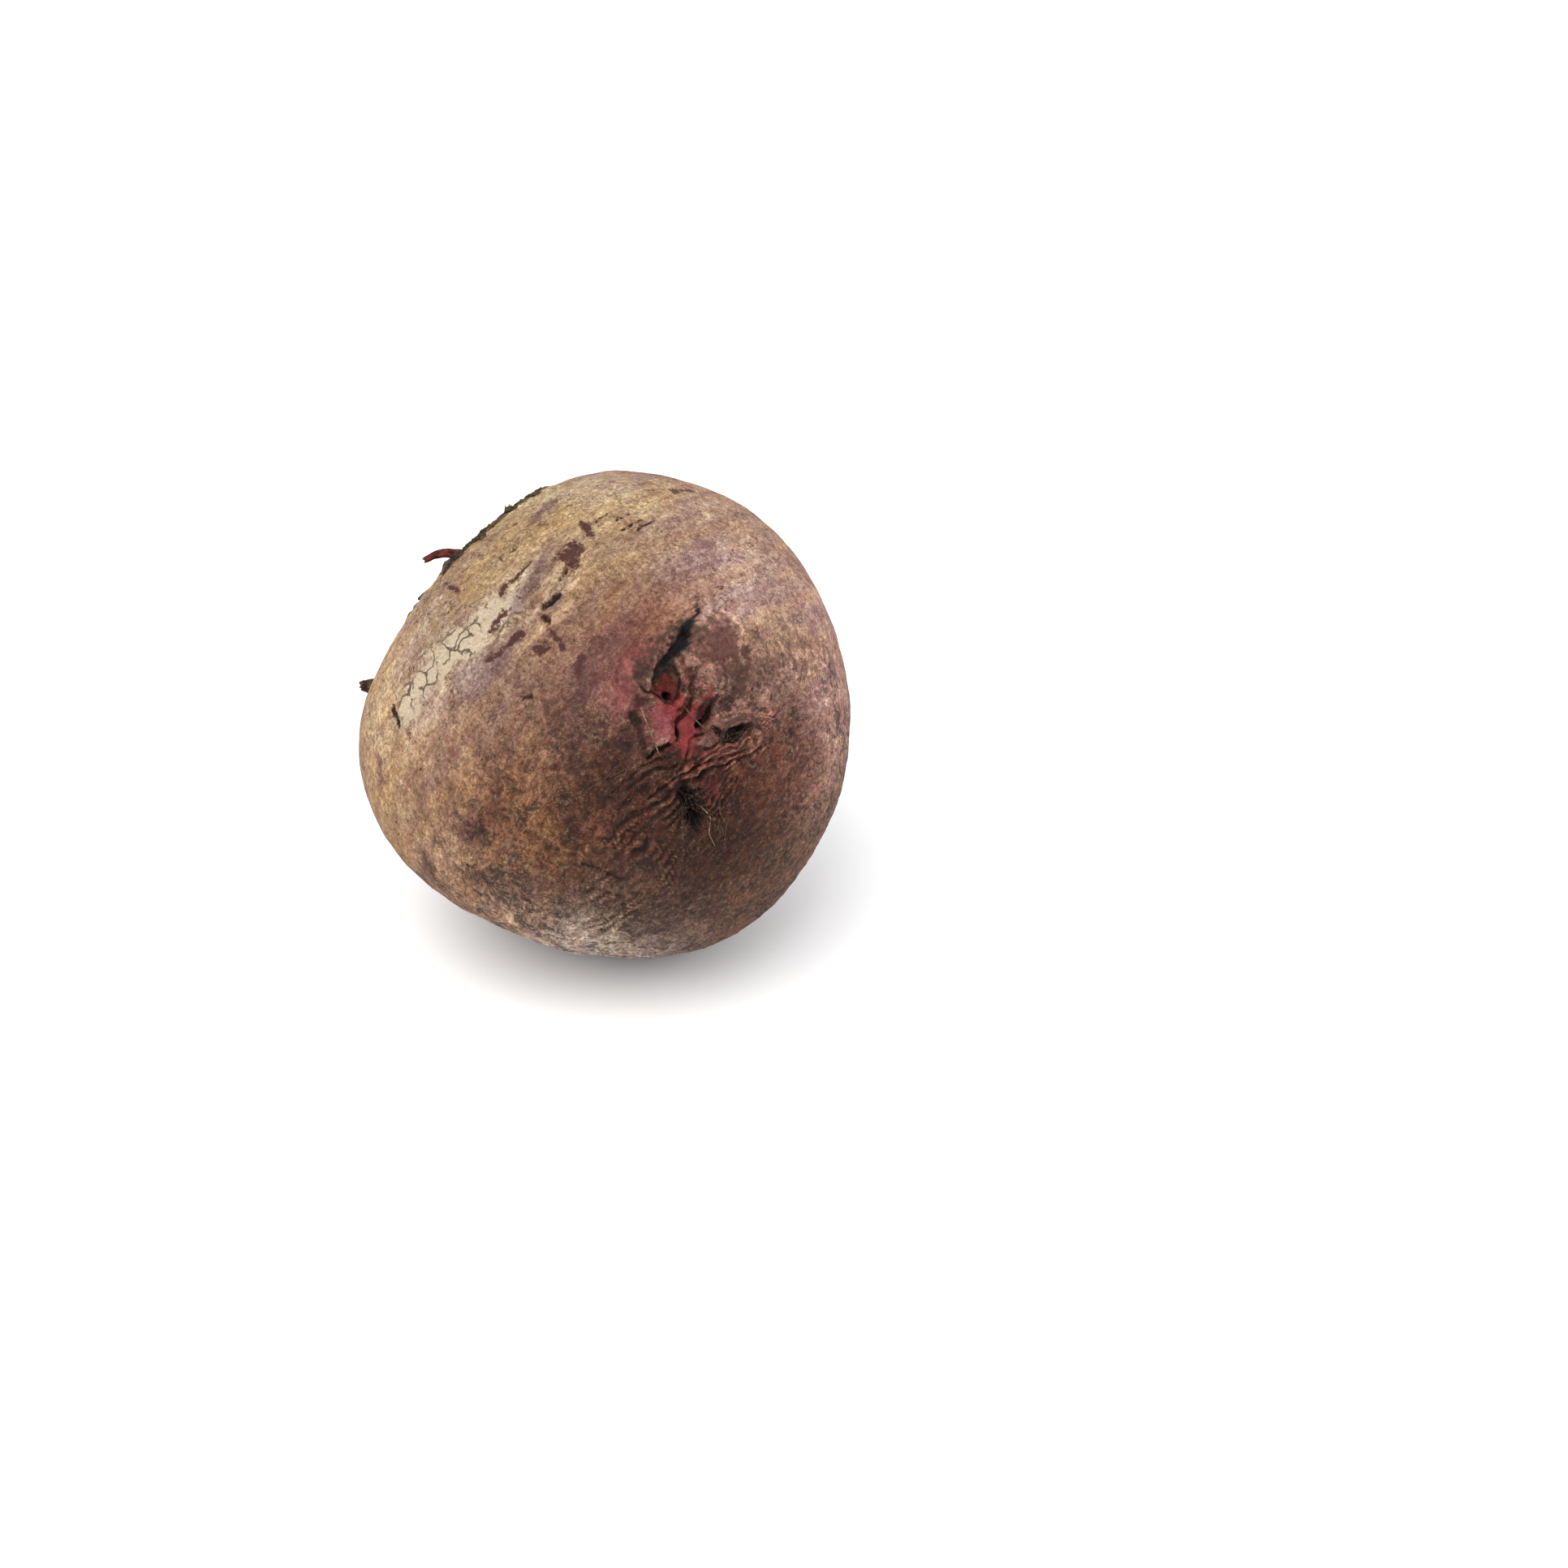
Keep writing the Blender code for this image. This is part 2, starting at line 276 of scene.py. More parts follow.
# skin colours by place: (turn, lift, how many degrees wide, colour)
skinTones = (
    # top and shoulder
    (-90, 85, 16, (0.54, 0.50, 0.31)),
    (-128, 78, 10, (0.26, 0.13, 0.057)),
    (-125, 65, 12, (0.41, 0.39, 0.28)),
    (-150, 60, 14, (0.34, 0.26, 0.15)),
    (-105, 55, 12, (0.28, 0.18, 0.10)),
    # left side, from the pale cracked patch down
    (-140, 38, 14, (0.28, 0.25, 0.22)),
    (-160, 20, 16, (0.48, 0.38, 0.23)),
    (-135, 20, 10, (0.47, 0.36, 0.26)),
    (-120, 30, 13, (0.23, 0.14, 0.095)),
    (-140, 5, 14, (0.34, 0.24, 0.15)),
    (-150, -12, 12, (0.49, 0.35, 0.18)),
    (-130, -20, 16, (0.32, 0.22, 0.14)),
    # above the hollow, out to the lilac upper right
    (-88, 45, 9, (0.17, 0.073, 0.080)),
    (-80, 62, 14, (0.16, 0.073, 0.062)),
    (-60, 50, 10, (0.22, 0.10, 0.075)),
    (-50, 70, 14, (0.29, 0.19, 0.095)),
    (-35, 60, 12, (0.35, 0.27, 0.29)),
    (20, 60, 20, (0.38, 0.28, 0.20)),
    # beside the hollow, out to the right side
    (-95, 32, 9, (0.14, 0.077, 0.059)),
    (-42, 34, 9, (0.17, 0.10, 0.072)),
    (-40, 15, 12, (0.10, 0.028, 0.015)),
    (-20, 45, 16, (0.50, 0.38, 0.29)),
    (-15, 20, 18, (0.51, 0.35, 0.30)),
    # the dark stretch under the hollow, towards the lower right: dirty skin, with painted shade added to its
    # darkness
    (-90, 18, 11, (0.053, 0.019, 0.013)),
    (-75, 8, 9, (0.048, 0.017, 0.009)),
    (-115, 8, 13, (0.23, 0.12, 0.057)),
    (-70, -5, 14, (0.023, 0.007, 0.004)),
    (-100, -10, 14, (0.076, 0.032, 0.019)),
    (-80, -22, 11, (0.043, 0.014, 0.008)),
    # low edge, and the underside; the pale tones at (-112, -30) and (-95, -40) are painted light reflected up
    # from the floor
    (-112, -30, 11, (0.61, 0.48, 0.31)),
    (-60, -30, 18, (0.12, 0.055, 0.032)),
    (-95, -40, 18, (0.48, 0.49, 0.46)),
    (-160, -45, 24, (0.19, 0.12, 0.075)),
    (0, -90, 30, (0.15, 0.095, 0.065)),
    # back, and the crown
    (0, -25, 24, (0.18, 0.10, 0.065)),
    (40, 20, 26, (0.27, 0.15, 0.12)),
    (70, -25, 28, (0.19, 0.11, 0.072)),
    (90, 35, 24, (0.29, 0.19, 0.13)),
    (130, -30, 26, (0.20, 0.12, 0.080)),
    (175, 5, 20, (0.29, 0.20, 0.12)),
    (141, 25, 22, (0.23, 0.16, 0.10)),
)

# the pinched hollow: places are (right, up) in mm from its middle
hollowLines = {  # the courses that folds, grooves and paint follow
    "bowlRim": ((-7.4, 8.9), (-5.3, 7.0), (-4.2, 5.7), (-2.6, 5.0), (-1.0, 5.7), (0.7, 7.3), (1.5, 9.2),
        (0.9, 11.6)),
    "curl": ((3.4, 0.4), (5.2, 1.1), (7.4, 1.2), (9.6, 0.6), (11.4, -0.6), (12.3, -2.4), (11.6, -4.2),
        (9.2, -5.2), (6.0, -5.6), (2.4, -5.9), (-1.2, -6.3), (-4.6, -7.0), (-8.0, -8.4), (-12.0, -10.6)),
    "outerCurl": ((5.4, 2.3), (8.0, 2.4), (10.8, 1.5), (12.8, -0.4), (13.6, -2.8), (12.8, -5.0),
        (10.0, -6.3), (6.2, -6.9), (2.2, -7.4), (-1.6, -8.0), (-5.4, -9.2), (-9.4, -11.2)),
    "innerCurl": ((9.8, -1.2), (9.3, -2.5), (8.2, -3.4), (6.2, -4.1), (3.4, -4.6), (0.2, -5.1),
        (-3.0, -5.6), (-6.4, -6.6), (-10.4, -8.6), (-15.0, -11.4)),
    "curlFoot": ((7.6, -2.9), (5.0, -3.2), (2.0, -3.7), (-1.4, -4.2), (-5.0, -4.6)),
    "leftFoldTop": ((-16.8, -6.9), (-14.5, -5.2), (-12.3, -3.8), (-10.0, -2.6), (-7.6, -2.3), (-4.6, -2.0),
        (-2.6, -1.2)),
    "leftFold": ((-19.9, -9.7), (-17.0, -8.0), (-13.6, -5.7), (-10.7, -4.5), (-7.9, -3.4), (-4.1, -3.3)),
    "leftFoldLow": ((-21.6, -12.4), (-17.9, -9.6), (-13.5, -7.1), (-9.8, -5.5), (-6.8, -5.1), (-4.0, -5.0)),
    "leftFoldEdge": ((-18.6, -12.8), (-14.6, -9.8), (-11.7, -8.6), (-8.8, -7.5)),
    "lowerFoldLeft": ((0.9, -12.0), (0.4, -14.0), (-1.7, -19.2), (-3.5, -22.8)),
    "lowerFold": ((2.8, -10.0), (1.9, -13.6), (0.3, -17.7), (-2.0, -22.4)),
    "lowerFoldRight": ((5.6, -9.0), (4.9, -13.0), (3.4, -17.0), (1.4, -21.0)),
    "flap": ((2.3, 13.7), (2.7, 12.8), (3.8, 10.4), (5.1, 8.0), (7.0, 7.3)),
    "flapTop": ((6.8, 18.2), (5.2, 16.4), (4.1, 14.4), (3.6, 12.6)),
    "besideBowl": ((-7.4, 10.7), (-8.6, 13.0), (-7.4, 15.6)),
    "leftTuck": ((-8.4, -0.7), (-6.6, -0.5), (-5.0, 0.1)),
    "cleftTip": ((7.0, 19.6), (6.1, 18.9), (3.7, 16.9)),
    "cleft": ((3.7, 16.9), (1.1, 15.3), (-1.2, 13.3), (-3.1, 12.0)),
    "underBowl": ((-7.4, 10.7), (-6.4, 9.5), (-5.2, 8.8), (-4.5, 7.8), (-3.7, 6.3), (-2.3, 5.9),
        (-0.9, 7.1), (0.0, 8.4), (0.4, 10.0), (-0.2, 11.2)),
    "fleshSplit": ((-2.6, -0.6), (-1.6, 2.2), (-0.4, 3.6), (0.8, 4.7), (1.7, 6.2), (2.0, 8.6)),
    "sideSplit": ((1.2, 1.3), (2.1, 1.5), (3.6, 2.6), (4.6, 3.8), (5.4, 5.1)),
    "fleshCrease": ((2.3, -0.1), (-0.1, -1.2), (-1.3, -2.6), (-2.0, -3.8)),
    "leftSlit": ((-8.1, -1.9), (-6.8, -1.5), (-5.7, -1.3), (-4.3, -0.8)),
    "curlMouth": ((4.6, -0.6), (5.2, -1.1), (6.5, -0.8), (7.9, -1.4), (8.9, -0.9), (10.4, -1.2)),
    "betweenCurls": ((11.9, -4.9), (9.4, -5.8), (6.1, -6.25), (2.3, -6.65), (-1.4, -7.15), (-5.0, -8.1),
        (-8.7, -9.8)),
    "underCurl": ((9.0, -4.4), (6.1, -4.9), (2.9, -5.25), (-0.5, -5.7), (-3.8, -6.3), (-7.2, -7.5),
        (-11.2, -9.6)),
    "belowFlesh": ((1.2, -2.6), (3.0, -3.0), (5.4, -2.6)),
    "leftGroove": ((-17.6, -8.4), (-12.9, -5.1), (-9.4, -3.1), (-5.6, -2.7)),
    "leftGrooveLow": ((-12.6, -6.6), (-8.4, -4.3), (-4.0, -4.1)),
    "cleftSides": ((5.6, 18.6), (3.7, 16.9), (1.1, 15.3), (-1.2, 13.3), (-3.1, 12.0), (-5.0, 10.9)),
    "cleftTop": ((7.0, 19.8), (6.1, 18.9), (3.7, 16.9), (1.1, 15.3)),
    "cleftDepth": ((3.2, 16.7), (1.1, 15.3), (-1.4, 13.1)),
    "cleftEnd": ((-1.4, 13.1), (-3.6, 11.9)),
    "sideSplitDark": ((1.2, 1.3), (2.1, 1.5), (3.6, 2.6), (4.4, 3.6)),
}

hollowPlan = {
    "lobes": (  # right, up, half width, half height, tilt, height in mm
        (8.4, 13.2, 4.6, 6.2, -25, 0.8),
        (-5.2, 3.1, 3.2, 3.6, 10, 0.75),
        (-0.7, -0.9, 2.0, 3.2, -25, 0.7),
        (2.2, 5.6, 1.4, 3.0, -20, 0.6),
        (-12.5, 9.0, 4.2, 3.4, 40, 0.35),
        (6.9, 8.2, 1.8, 1.2, 60, 0.5),
        (11.6, 6.4, 2.4, 1.4, 30, 0.45),
        (14.6, 9.6, 2.4, 1.6, 40, 0.4),
        (14.4, 3.0, 2.2, 1.5, 20, 0.4),
    ),
    "bowls": (  # as the lobes, with depths
        (-2.4, 9.2, 2.9, 3.1, -20, 1.5),
        (3.0, 2.8, 2.4, 1.6, 40, 0.9),
        (7.4, -1.6, 3.4, 1.6, 10, 1.0),
        (-2.6, -12.0, 3.2, 5.4, 8, 1.1),
        (-9.4, 4.8, 1.4, 1.8, 0, 0.5),
    ),
    "folds": (  # course, half width, height in mm
        ("bowlRim", 0.6, 0.5), ("curl", 0.36, 0.48), ("outerCurl", 0.32, 0.4), ("innerCurl", 0.34, 0.36),
        ("curlFoot", 0.3, 0.35), ("leftFoldTop", 0.34, 0.42), ("leftFold", 0.34, 0.45),
        ("leftFoldLow", 0.34, 0.4), ("leftFoldEdge", 0.34, 0.35), ("lowerFoldLeft", 0.36, 0.45),
        ("lowerFold", 0.36, 0.45), ("lowerFoldRight", 0.4, 0.4), ("flap", 0.45, 0.45),
        ("flapTop", 0.45, 0.45), ("besideBowl", 0.5, 0.3), ("leftTuck", 0.45, 0.4),
    ),
    "grooves": (  # course, half width, depth in mm
        ("cleftTip", 0.35, 0.35), ("cleft", 0.8, 0.9), ("underBowl", 0.26, 0.45), ("fleshSplit", 0.36, 0.6),
        ("sideSplit", 0.45, 0.7), ("fleshCrease", 0.28, 0.45), ("leftSlit", 0.32, 0.7),
        ("curlMouth", 0.7, 0.8), ("betweenCurls", 0.24, 0.4), ("underCurl", 0.24, 0.4),
        ("belowFlesh", 0.35, 0.45), ("leftGroove", 0.28, 0.35), ("leftGrooveLow", 0.28, 0.35),
    ),
    "pits": (  # right, up, half width, half height, tilt, depth in mm
        (-2.6, 7.1, 1.05, 0.85, 10, 1.8),
        (1.7, 1.6, 0.9, 0.55, 10, 0.9),
        (-2.3, 1.0, 0.5, 1.0, -15, 0.9),
        (-2.9, -10.4, 1.5, 2.4, 10, 1.6),
        (-2.2, -14.2, 1.3, 2.8, 18, 1.5),
    ),
    "lip": (0.25, 0.3, 0.25),  # round each pit: height in mm, how far outside, how wide
}

# what the hollow's torn skin looks like, laid one over the other
hollowPaint = {
    "ovals": (  # right, up, half width, half height, tilt, how ragged, how soft, strength, colour
        (-6.6, 14.4, 7.6, 5.6, 42, 0.3, 1.0, 0.6, (0.113, 0.026, 0.024)),
        (-10.0, 8.2, 5.8, 7.0, 15, 0.5, 1.1, 0.68, (0.120, 0.034, 0.032)),
        (0.0, 1.0, 9.0, 9.5, 15, 0.3, 0.8, 0.6, (0.092, 0.022, 0.020)),
        (8.6, 13.2, 6.4, 7.6, -25, 0.4, 0.8, 0.82, (0.066, 0.027, 0.023)),
        (11.0, 6.8, 6.4, 3.8, 30, 0.9, 0.7, 0.6, (0.052, 0.026, 0.019)),
        (-11.9, 1.1, 3.0, 2.2, 10, 0.8, 0.9, 0.75, (0.030, 0.012, 0.011)),
        (-2.5, 3.6, 5.6, 5.6, 15, 0.4, 0.8, 0.9, (0.130, 0.019, 0.020)),
        (-5.0, 2.6, 3.1, 3.8, 10, 0.5, 0.7, 0.85, (0.128, 0.034, 0.036)),
        (-6.4, 0.4, 3.0, 1.7, 15, 0.7, 0.8, 0.7, (0.165, 0.055, 0.053)),
        (-2.6, 9.2, 2.9, 3.0, -20, 0.25, 0.5, 0.9, (0.210, 0.036, 0.026)),
        (-1.2, 7.4, 1.6, 2.4, -30, 0.2, 0.8, 0.7, (0.178, 0.026, 0.020)),
        (-0.6, -0.6, 2.0, 3.4, -25, 0.4, 0.7, 0.85, (0.120, 0.014, 0.015)),
        (3.2, 4.6, 1.7, 3.0, -35, 0.7, 0.9, 0.75, (0.120, 0.022, 0.018)),
        (2.6, -1.7, 1.9, 1.1, 35, 0.4, 0.5, 0.8, (0.125, 0.066, 0.054)),
        (7.4, -1.3, 3.2, 1.5, 10, 0.3, 0.5, 0.85, (0.028, 0.013, 0.014)),
        (-3.8, 11.0, 3.4, 1.5, 15, 0.9, 0.7, 0.8, (0.100, 0.062, 0.037)),
        (1.8, 11.4, 1.8, 3.0, 0, 0.7, 0.9, 0.6, (0.130, 0.037, 0.033)),
        (-9.3, 4.9, 1.4, 1.3, 0, 0.9, 0.7, 0.8, (0.026, 0.018, 0.011)),
        (-2.6, -12.2, 3.4, 5.4, 10, 0.7, 0.9, 0.8, (0.018, 0.009, 0.005)),
        (1.8, -9.8, 3.0, 3.4, -20, 0.5, 1.0, 0.6, (0.081, 0.016, 0.016)),
        (6.0, -4.6, 6.0, 2.0, 12, 0.4, 0.9, 0.55, (0.076, 0.023, 0.016)),
        (-3.4, -6.6, 6.4, 1.8, 18, 0.4, 0.9, 0.5, (0.092, 0.022, 0.017)),
    ),
    "lines": (  # course, its first and last stop, half width, how ragged, how soft, strength, colour
        ("cleftSides", 0, 6, 2.2, 1.3, 1.0, 0.75, (0.050, 0.032, 0.022)),
        ("cleftTop", 0, 4, 0.5, 0.8, 0.6, 0.92, (0.010, 0.009, 0.009)),
        ("cleftDepth", 0, 3, 1.0, 0.9, 0.6, 0.92, (0.009, 0.008, 0.009)),
        ("cleftEnd", 0, 2, 0.9, 1.4, 0.6, 0.8, (0.014, 0.012, 0.009)),
        ("underBowl", 1, 9, 0.22, 0.4, 0.9, 0.75, (0.028, 0.010, 0.008)),
        ("fleshSplit", 0, 5, 0.3, 0.7, 0.9, 0.7, (0.040, 0.011, 0.009)),
        ("sideSplitDark", 0, 4, 0.5, 0.8, 0.8, 0.85, (0.016, 0.010, 0.006)),
        ("fleshCrease", 0, 4, 0.22, 0.6, 0.9, 0.7, (0.035, 0.010, 0.008)),
        ("leftSlit", 0, 4, 0.3, 0.5, 0.7, 0.9, (0.014, 0.010, 0.007)),
        ("curlMouth", 0, 5, 0.5, 0.5, 0.8, 0.7, (0.014, 0.007, 0.008)),
        ("curl", 0, 7, 0.3, 1.1, 0.9, 0.5, (0.100, 0.058, 0.048)),
        ("curl", 6, 13, 0.28, 1.1, 0.9, 0.45, (0.100, 0.052, 0.038)),
        ("innerCurl", 2, 8, 0.28, 1.1, 0.9, 0.45, (0.100, 0.055, 0.038)),
        ("flap", 0, 5, 0.4, 1.0, 0.8, 0.75, (0.170, 0.100, 0.074)),
        ("leftTuck", 0, 3, 0.4, 0.6, 0.8, 0.6, (0.210, 0.120, 0.100)),
    ),
    # near black: painted shade in the depths of the pits
    "pitShadeColour": (0.004, 0.003, 0.003),
}

# the long wrinkles under the hollow: they start along a line that leans up to the right, and fan out below it
foldPlan = {
    "start": -5.0,  # mm above the hollow's middle where that line crosses it
    "lean": 0.42,
    "spread": 6.0,  # mm to the next rank of wrinkles
    "fan": 0.30,  # how much closer the ranks come for each mm to the right
    "closest": 1.6,
    "reach": (-0.35, 0.1, 1.5, 2.8),  # ranks over which the wrinkles start and die out
    "sides": (-32, -14, 12, 18),  # the same, in mm to the left and right
    "period": 0.24,  # ranks from one wrinkle to the next
    "height": 0.3,
    "sway": 2.2,
}

crownPlan = {
    "crust": ((-177, 51, 168, 63, 2.3), (168, 63, 129, 68, 2.3)),  # strokes of dark crumbly crust
    "rings": ((8.5, 6), (13.0, 9), (17.5, 12), (22.0, 15)),  # ring radius in mm, leaf scars round it
    "scarHeight": 0.55,
    "scarWidth": 0.75,
    "grooveDepth": 0.35,
    "grooveGap": 1.3,  # from a scar's ridge out to the groove beside it
    "grooveWidth": 0.6,
    "edge": (24.0, 28.0),  # mm from the crown's middle where cork turns into skin
    "rimCrust": 23.0,
    "roughWidth": 2.6,
    "roughHeight": 0.3,
    "crustRough": 0.5,
}


# the skin
def cadShape(name):  # a merged copy of a CAD node's mesh, for casting rays at
    bm = bmesh.new()
    bm.from_mesh(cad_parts[name].data)
    bmesh.ops.remove_doubles(bm, verts=bm.verts, dist=1e-6)
    return bm


def refine(bm, way, reach, coarse):  # halves the faces within reach of a heading that are still coarse
    inside = set()
    for vert in bm.verts:
        if (vert.co - Vector(rootMiddle)).angle(Vector(way)) * rootPlan["radius"] < reach:
            inside.add(vert)
    edges = [edge for edge in bm.edges if inside.issuperset(edge.verts) and edge.calc_length() > coarse]
    bmesh.ops.subdivide_edges(bm, edges=edges, cuts=1, use_grid_fill=True)


def relax(bm, steps):  # evens out the faces
    for step in range(steps):
        bmesh.ops.smooth_vert(
            bm, verts=bm.verts, factor=0.5, use_axis_x=True, use_axis_y=True, use_axis_z=True
        )


def baseSkin():  # an even net of quads laid over the CAD root, finer where there is more to show
    source = cadShape("swollen_root")
    tree = BVHTree.FromBMesh(source)
    source.free()
    bm = bmesh.new()
    bmesh.ops.create_cube(bm, size=2)
    bmesh.ops.subdivide_edges(bm, edges=bm.edges[:], cuts=skinPlan["cuts"], use_grid_fill=True)
    for vert in bm.verts:
        way = Vector([math.tan(x * math.pi / 4) for x in vert.co]).normalized()
        vert.co = tree.ray_cast(Vector(rootMiddle), way)[0]
    before, after = skinPlan["relaxSteps"]
    relax(bm, before)
    for way, reach, coarse in skinPlan["finer"]:
        refine(bm, heading(*way), reach * mm, coarse * mm)
    relax(bm, after)
    bmesh.ops.recalc_face_normals(bm, faces=bm.faces[:])
    mesh = bpy.data.meshes.new("beetSkin")
    bm.to_mesh(mesh)
    bm.free()
    return mesh


def readVectors(items, key):
    values = np.empty(len(items) * 3)
    items.foreach_get(key, values)
    return values.reshape(-1, 3)


def addFloats(mesh, name, values):
    values = np.asarray(values, dtype=np.float32)
    mesh.attributes.new(name, "FLOAT", "POINT").data.foreach_set("value", values)


def addVectors(mesh, name, values):
    values = np.asarray(values, dtype=np.float32).ravel()
    mesh.attributes.new(name, "FLOAT_VECTOR", "POINT").data.foreach_set("vector", values)


def ridged(points, size, seed):  # sharp crests from 0 to 1
    return 1 - np.minimum(np.abs(grain(points, size, seed)) * 2.6, 1)


def hollowHeight(u, v, wild):  # in mm; wild noise breaks the folds up
    height = np.zeros(len(u))
    for *oval, rise in hollowPlan["lobes"]:
        height += rise * ease(ovalField(u, v, oval), -0.3, 0.7)
    for *oval, depth in hollowPlan["bowls"]:
        height -= depth * ease(ovalField(u, v, oval), -0.1, 0.8)
    for name, width, rise in hollowPlan["folds"]:
        uneven = np.clip(0.6 + 1.6 * wild, 0.0, 1.4)
        height += rise * ease(pathField(u, v, hollowLines[name], width * 1.7), 0.0, 1.0) * uneven
    for name, width, depth in hollowPlan["grooves"]:
        height -= depth * ease(pathField(u, v, hollowLines[name], width * 1.5), 0.0, 1.0)
    for *oval, depth in hollowPlan["pits"]:
        field = ovalField(u, v, oval)
        lipHeight, lipAway, lipWidth = hollowPlan["lip"]
        height += lipHeight * bell((field + lipAway) / lipWidth)
        height -= depth * ease(field, -0.1, 0.75)
    return height


def foldHeight(u, v, spots):
    plan = foldPlan
    spread = np.maximum(plan["spread"] - plan["fan"] * u, plan["closest"])
    rank = -(v - plan["start"] - plan["lean"] * u) / spread + 0.22 * roughGrain(spots, 8 * mm, 41, 3)
    begin, full, fading, gone = plan["reach"]
    inside = ease(rank, begin, full) * (1 - ease(rank, fading, gone))
    begin, full, fading, gone = plan["sides"]
    inside *= ease(u, begin, full) * (1 - ease(u, fading, gone))
    phase = rank * 2 * math.pi / plan["period"] + plan["sway"] * roughGrain(spots, 7 * mm, 45, 3)
    wave = np.cos(phase)
    strength = np.clip(0.6 + 1.3 * grain(spots, 4.5 * mm, 47), 0.0, 1.25)
    return plan["height"] * inside * strength * np.maximum(wave, 0), inside * strength * wave


def crownHeight(away, clock, rim, spots):
    plan, height = crownPlan, np.zeros(len(away))
    for number, (ring, count) in enumerate(plan["rings"]):
        swing = 1.6 * grain(spots, 9 * mm, 64 + number)
        scallop = np.abs(np.sin(clock * count / 2 + number * 1.3 + swing))
        middle = ring + 1.3 * scallop + 1.5 * roughGrain(spots, 8 * mm, 50 + number, 3)
        worn = 0.15 + 0.85 * ease(grain(spots, 6 * mm, 68 + number), -0.3, 0.3)
        ridge = bell((away - middle) / plan["scarWidth"]) * (0.35 + 0.65 * scallop)
        groove = bell((away - middle - plan["grooveGap"]) / plan["grooveWidth"])
        height += (plan["scarHeight"] * ridge - plan["grooveDepth"] * groove) * worn
    inside = 1 - ease(away, *plan["edge"])
    rough = roughGrain(spots, plan["roughWidth"] * mm, 57, 4)
    patchy = ease(roughGrain(spots, 5 * mm, 61, 3), -0.1, 0.5)
    rimCrust = bell((away - plan["rimCrust"]) / 2.2) * patchy * 0.8
    crust = np.maximum(rimCrust, ease(rim + 0.35 * rough, -0.2, 0.5))
    height = (height + plan["roughHeight"] * rough) * inside
    height += plan["crustRough"] * crust * (0.4 + np.maximum(rough, -0.3))
    return height, inside, crust


def shoved(spots, size, reach, seed):  # the places, pushed about by soft noise so that outlines wander
    return reach * mm * np.stack([grain(spots, size * mm, seed + step) for step in range(3)], axis=1)


def paintHollow(u, v, rag):  # colours and how much of them shows
    tone, share = np.full((len(u), 3), 0.1), np.zeros(len(u))

    def lay(field, ragged, soft, strength, colour):
        nonlocal tone, share
        mask = strength * ease(field + ragged * rag, -0.1 * soft, 0.9 * soft)
        total = np.maximum(mask + share * (1 - mask), 1e-6)
        tone = (np.array(colour) * mask[:, None] + tone * (share * (1 - mask))[:, None]) / total[:, None]
        share = mask + share * (1 - mask)

    for *oval, ragged, soft, strength, colour in hollowPaint["ovals"]:
        lay(ovalField(u, v, oval), ragged, soft, strength, colour)
    for name, first, last, width, ragged, soft, strength, colour in hollowPaint["lines"]:
        lay(pathField(u, v, hollowLines[name][first:last], width * 1.5), ragged, soft, strength, colour)
    # painted shade: the pits are laid over in near black
    for *oval, depth in hollowPlan["pits"]:
        lay(ovalField(u, v, oval), 0.3, 0.5, 0.95, hollowPaint["pitShadeColour"])
    return tone, share


def blendTones(ways):  # the skin's colour at each point, blended from the places round it
    tones, weights = np.zeros((len(ways), 3)), np.zeros(len(ways))
    for turn, lift, width, colour in skinTones:
        angle = np.degrees(np.arccos(np.clip(ways @ heading(turn, lift), -1, 1)))
        weight = bell(angle / width) + 1e-5
        tones += weight[:, None] * np.array(colour)
        weights += weight
    return tones / weights[:, None]


def unitWays(points):
    return points / np.linalg.norm(points, axis=1)[:, None]


def readSkin(places):  # where each point of the skin lies, seen from the crown, the hollow and the marks
    ways = unitWays(places - rootMiddle)
    spots = ways * rootPlan["radius"]
    ring, round1, round2 = growthLines(ways)
    softPush, sharpPush = (shoved(spots, *shove) for shove in unevenPlan["outlineShove"])
    bent = unitWays(spots + softPush + sharpPush)
    wildest = unitWays(spots + 1.5 * softPush + 1.3 * sharpPush)
    u, v = placeRound(bent, hollowWay)
    facing = ways @ crownWay
    crownTurn = np.arccos(np.clip(facing, 0.3, 1))
    away = np.where(facing > 0.3, rootPlan["crownHeight"] / mm * np.tan(crownTurn), 99.0)
    right, up = sidesOf(crownWay)
    reachAcross, reachAlong = unevenPlan["hollowReach"]
    where = {
        "ways": ways, "spots": spots, "ring": ring, "round1": round1, "round2": round2,
        "u": u, "v": v, "away": away,
        "clock": np.arctan2(ways @ up, ways @ right),
        "hollowGap": np.hypot(u / reachAcross, (v - 1) / reachAlong),
        "lowSide": ease(ways @ heading(*unevenPlan["dirtyHeading"]), -0.15, 0.55),
        "underside": ease(-ways[:, 2], 0.45, 0.75),
    }
    marks = {"bare": strokesField(wildest, skinPlan["bareSkin"])}
    for name, strokes in (
        ("knot", "knotHoles"), ("wrinkle", "knotWrinkles"), ("ticks", "brownTicks"), ("cracks", "cracks"),
        ("smudge", "smudges"), ("redDots", "redDots"), ("cream", "creamPatch"), ("orange", "orangeShoulder"),
    ):
        marks[name] = strokesField(bent, skinPlan[strokes])
    marks["crust"] = strokesField(bent, crownPlan["crust"])
    return where, marks


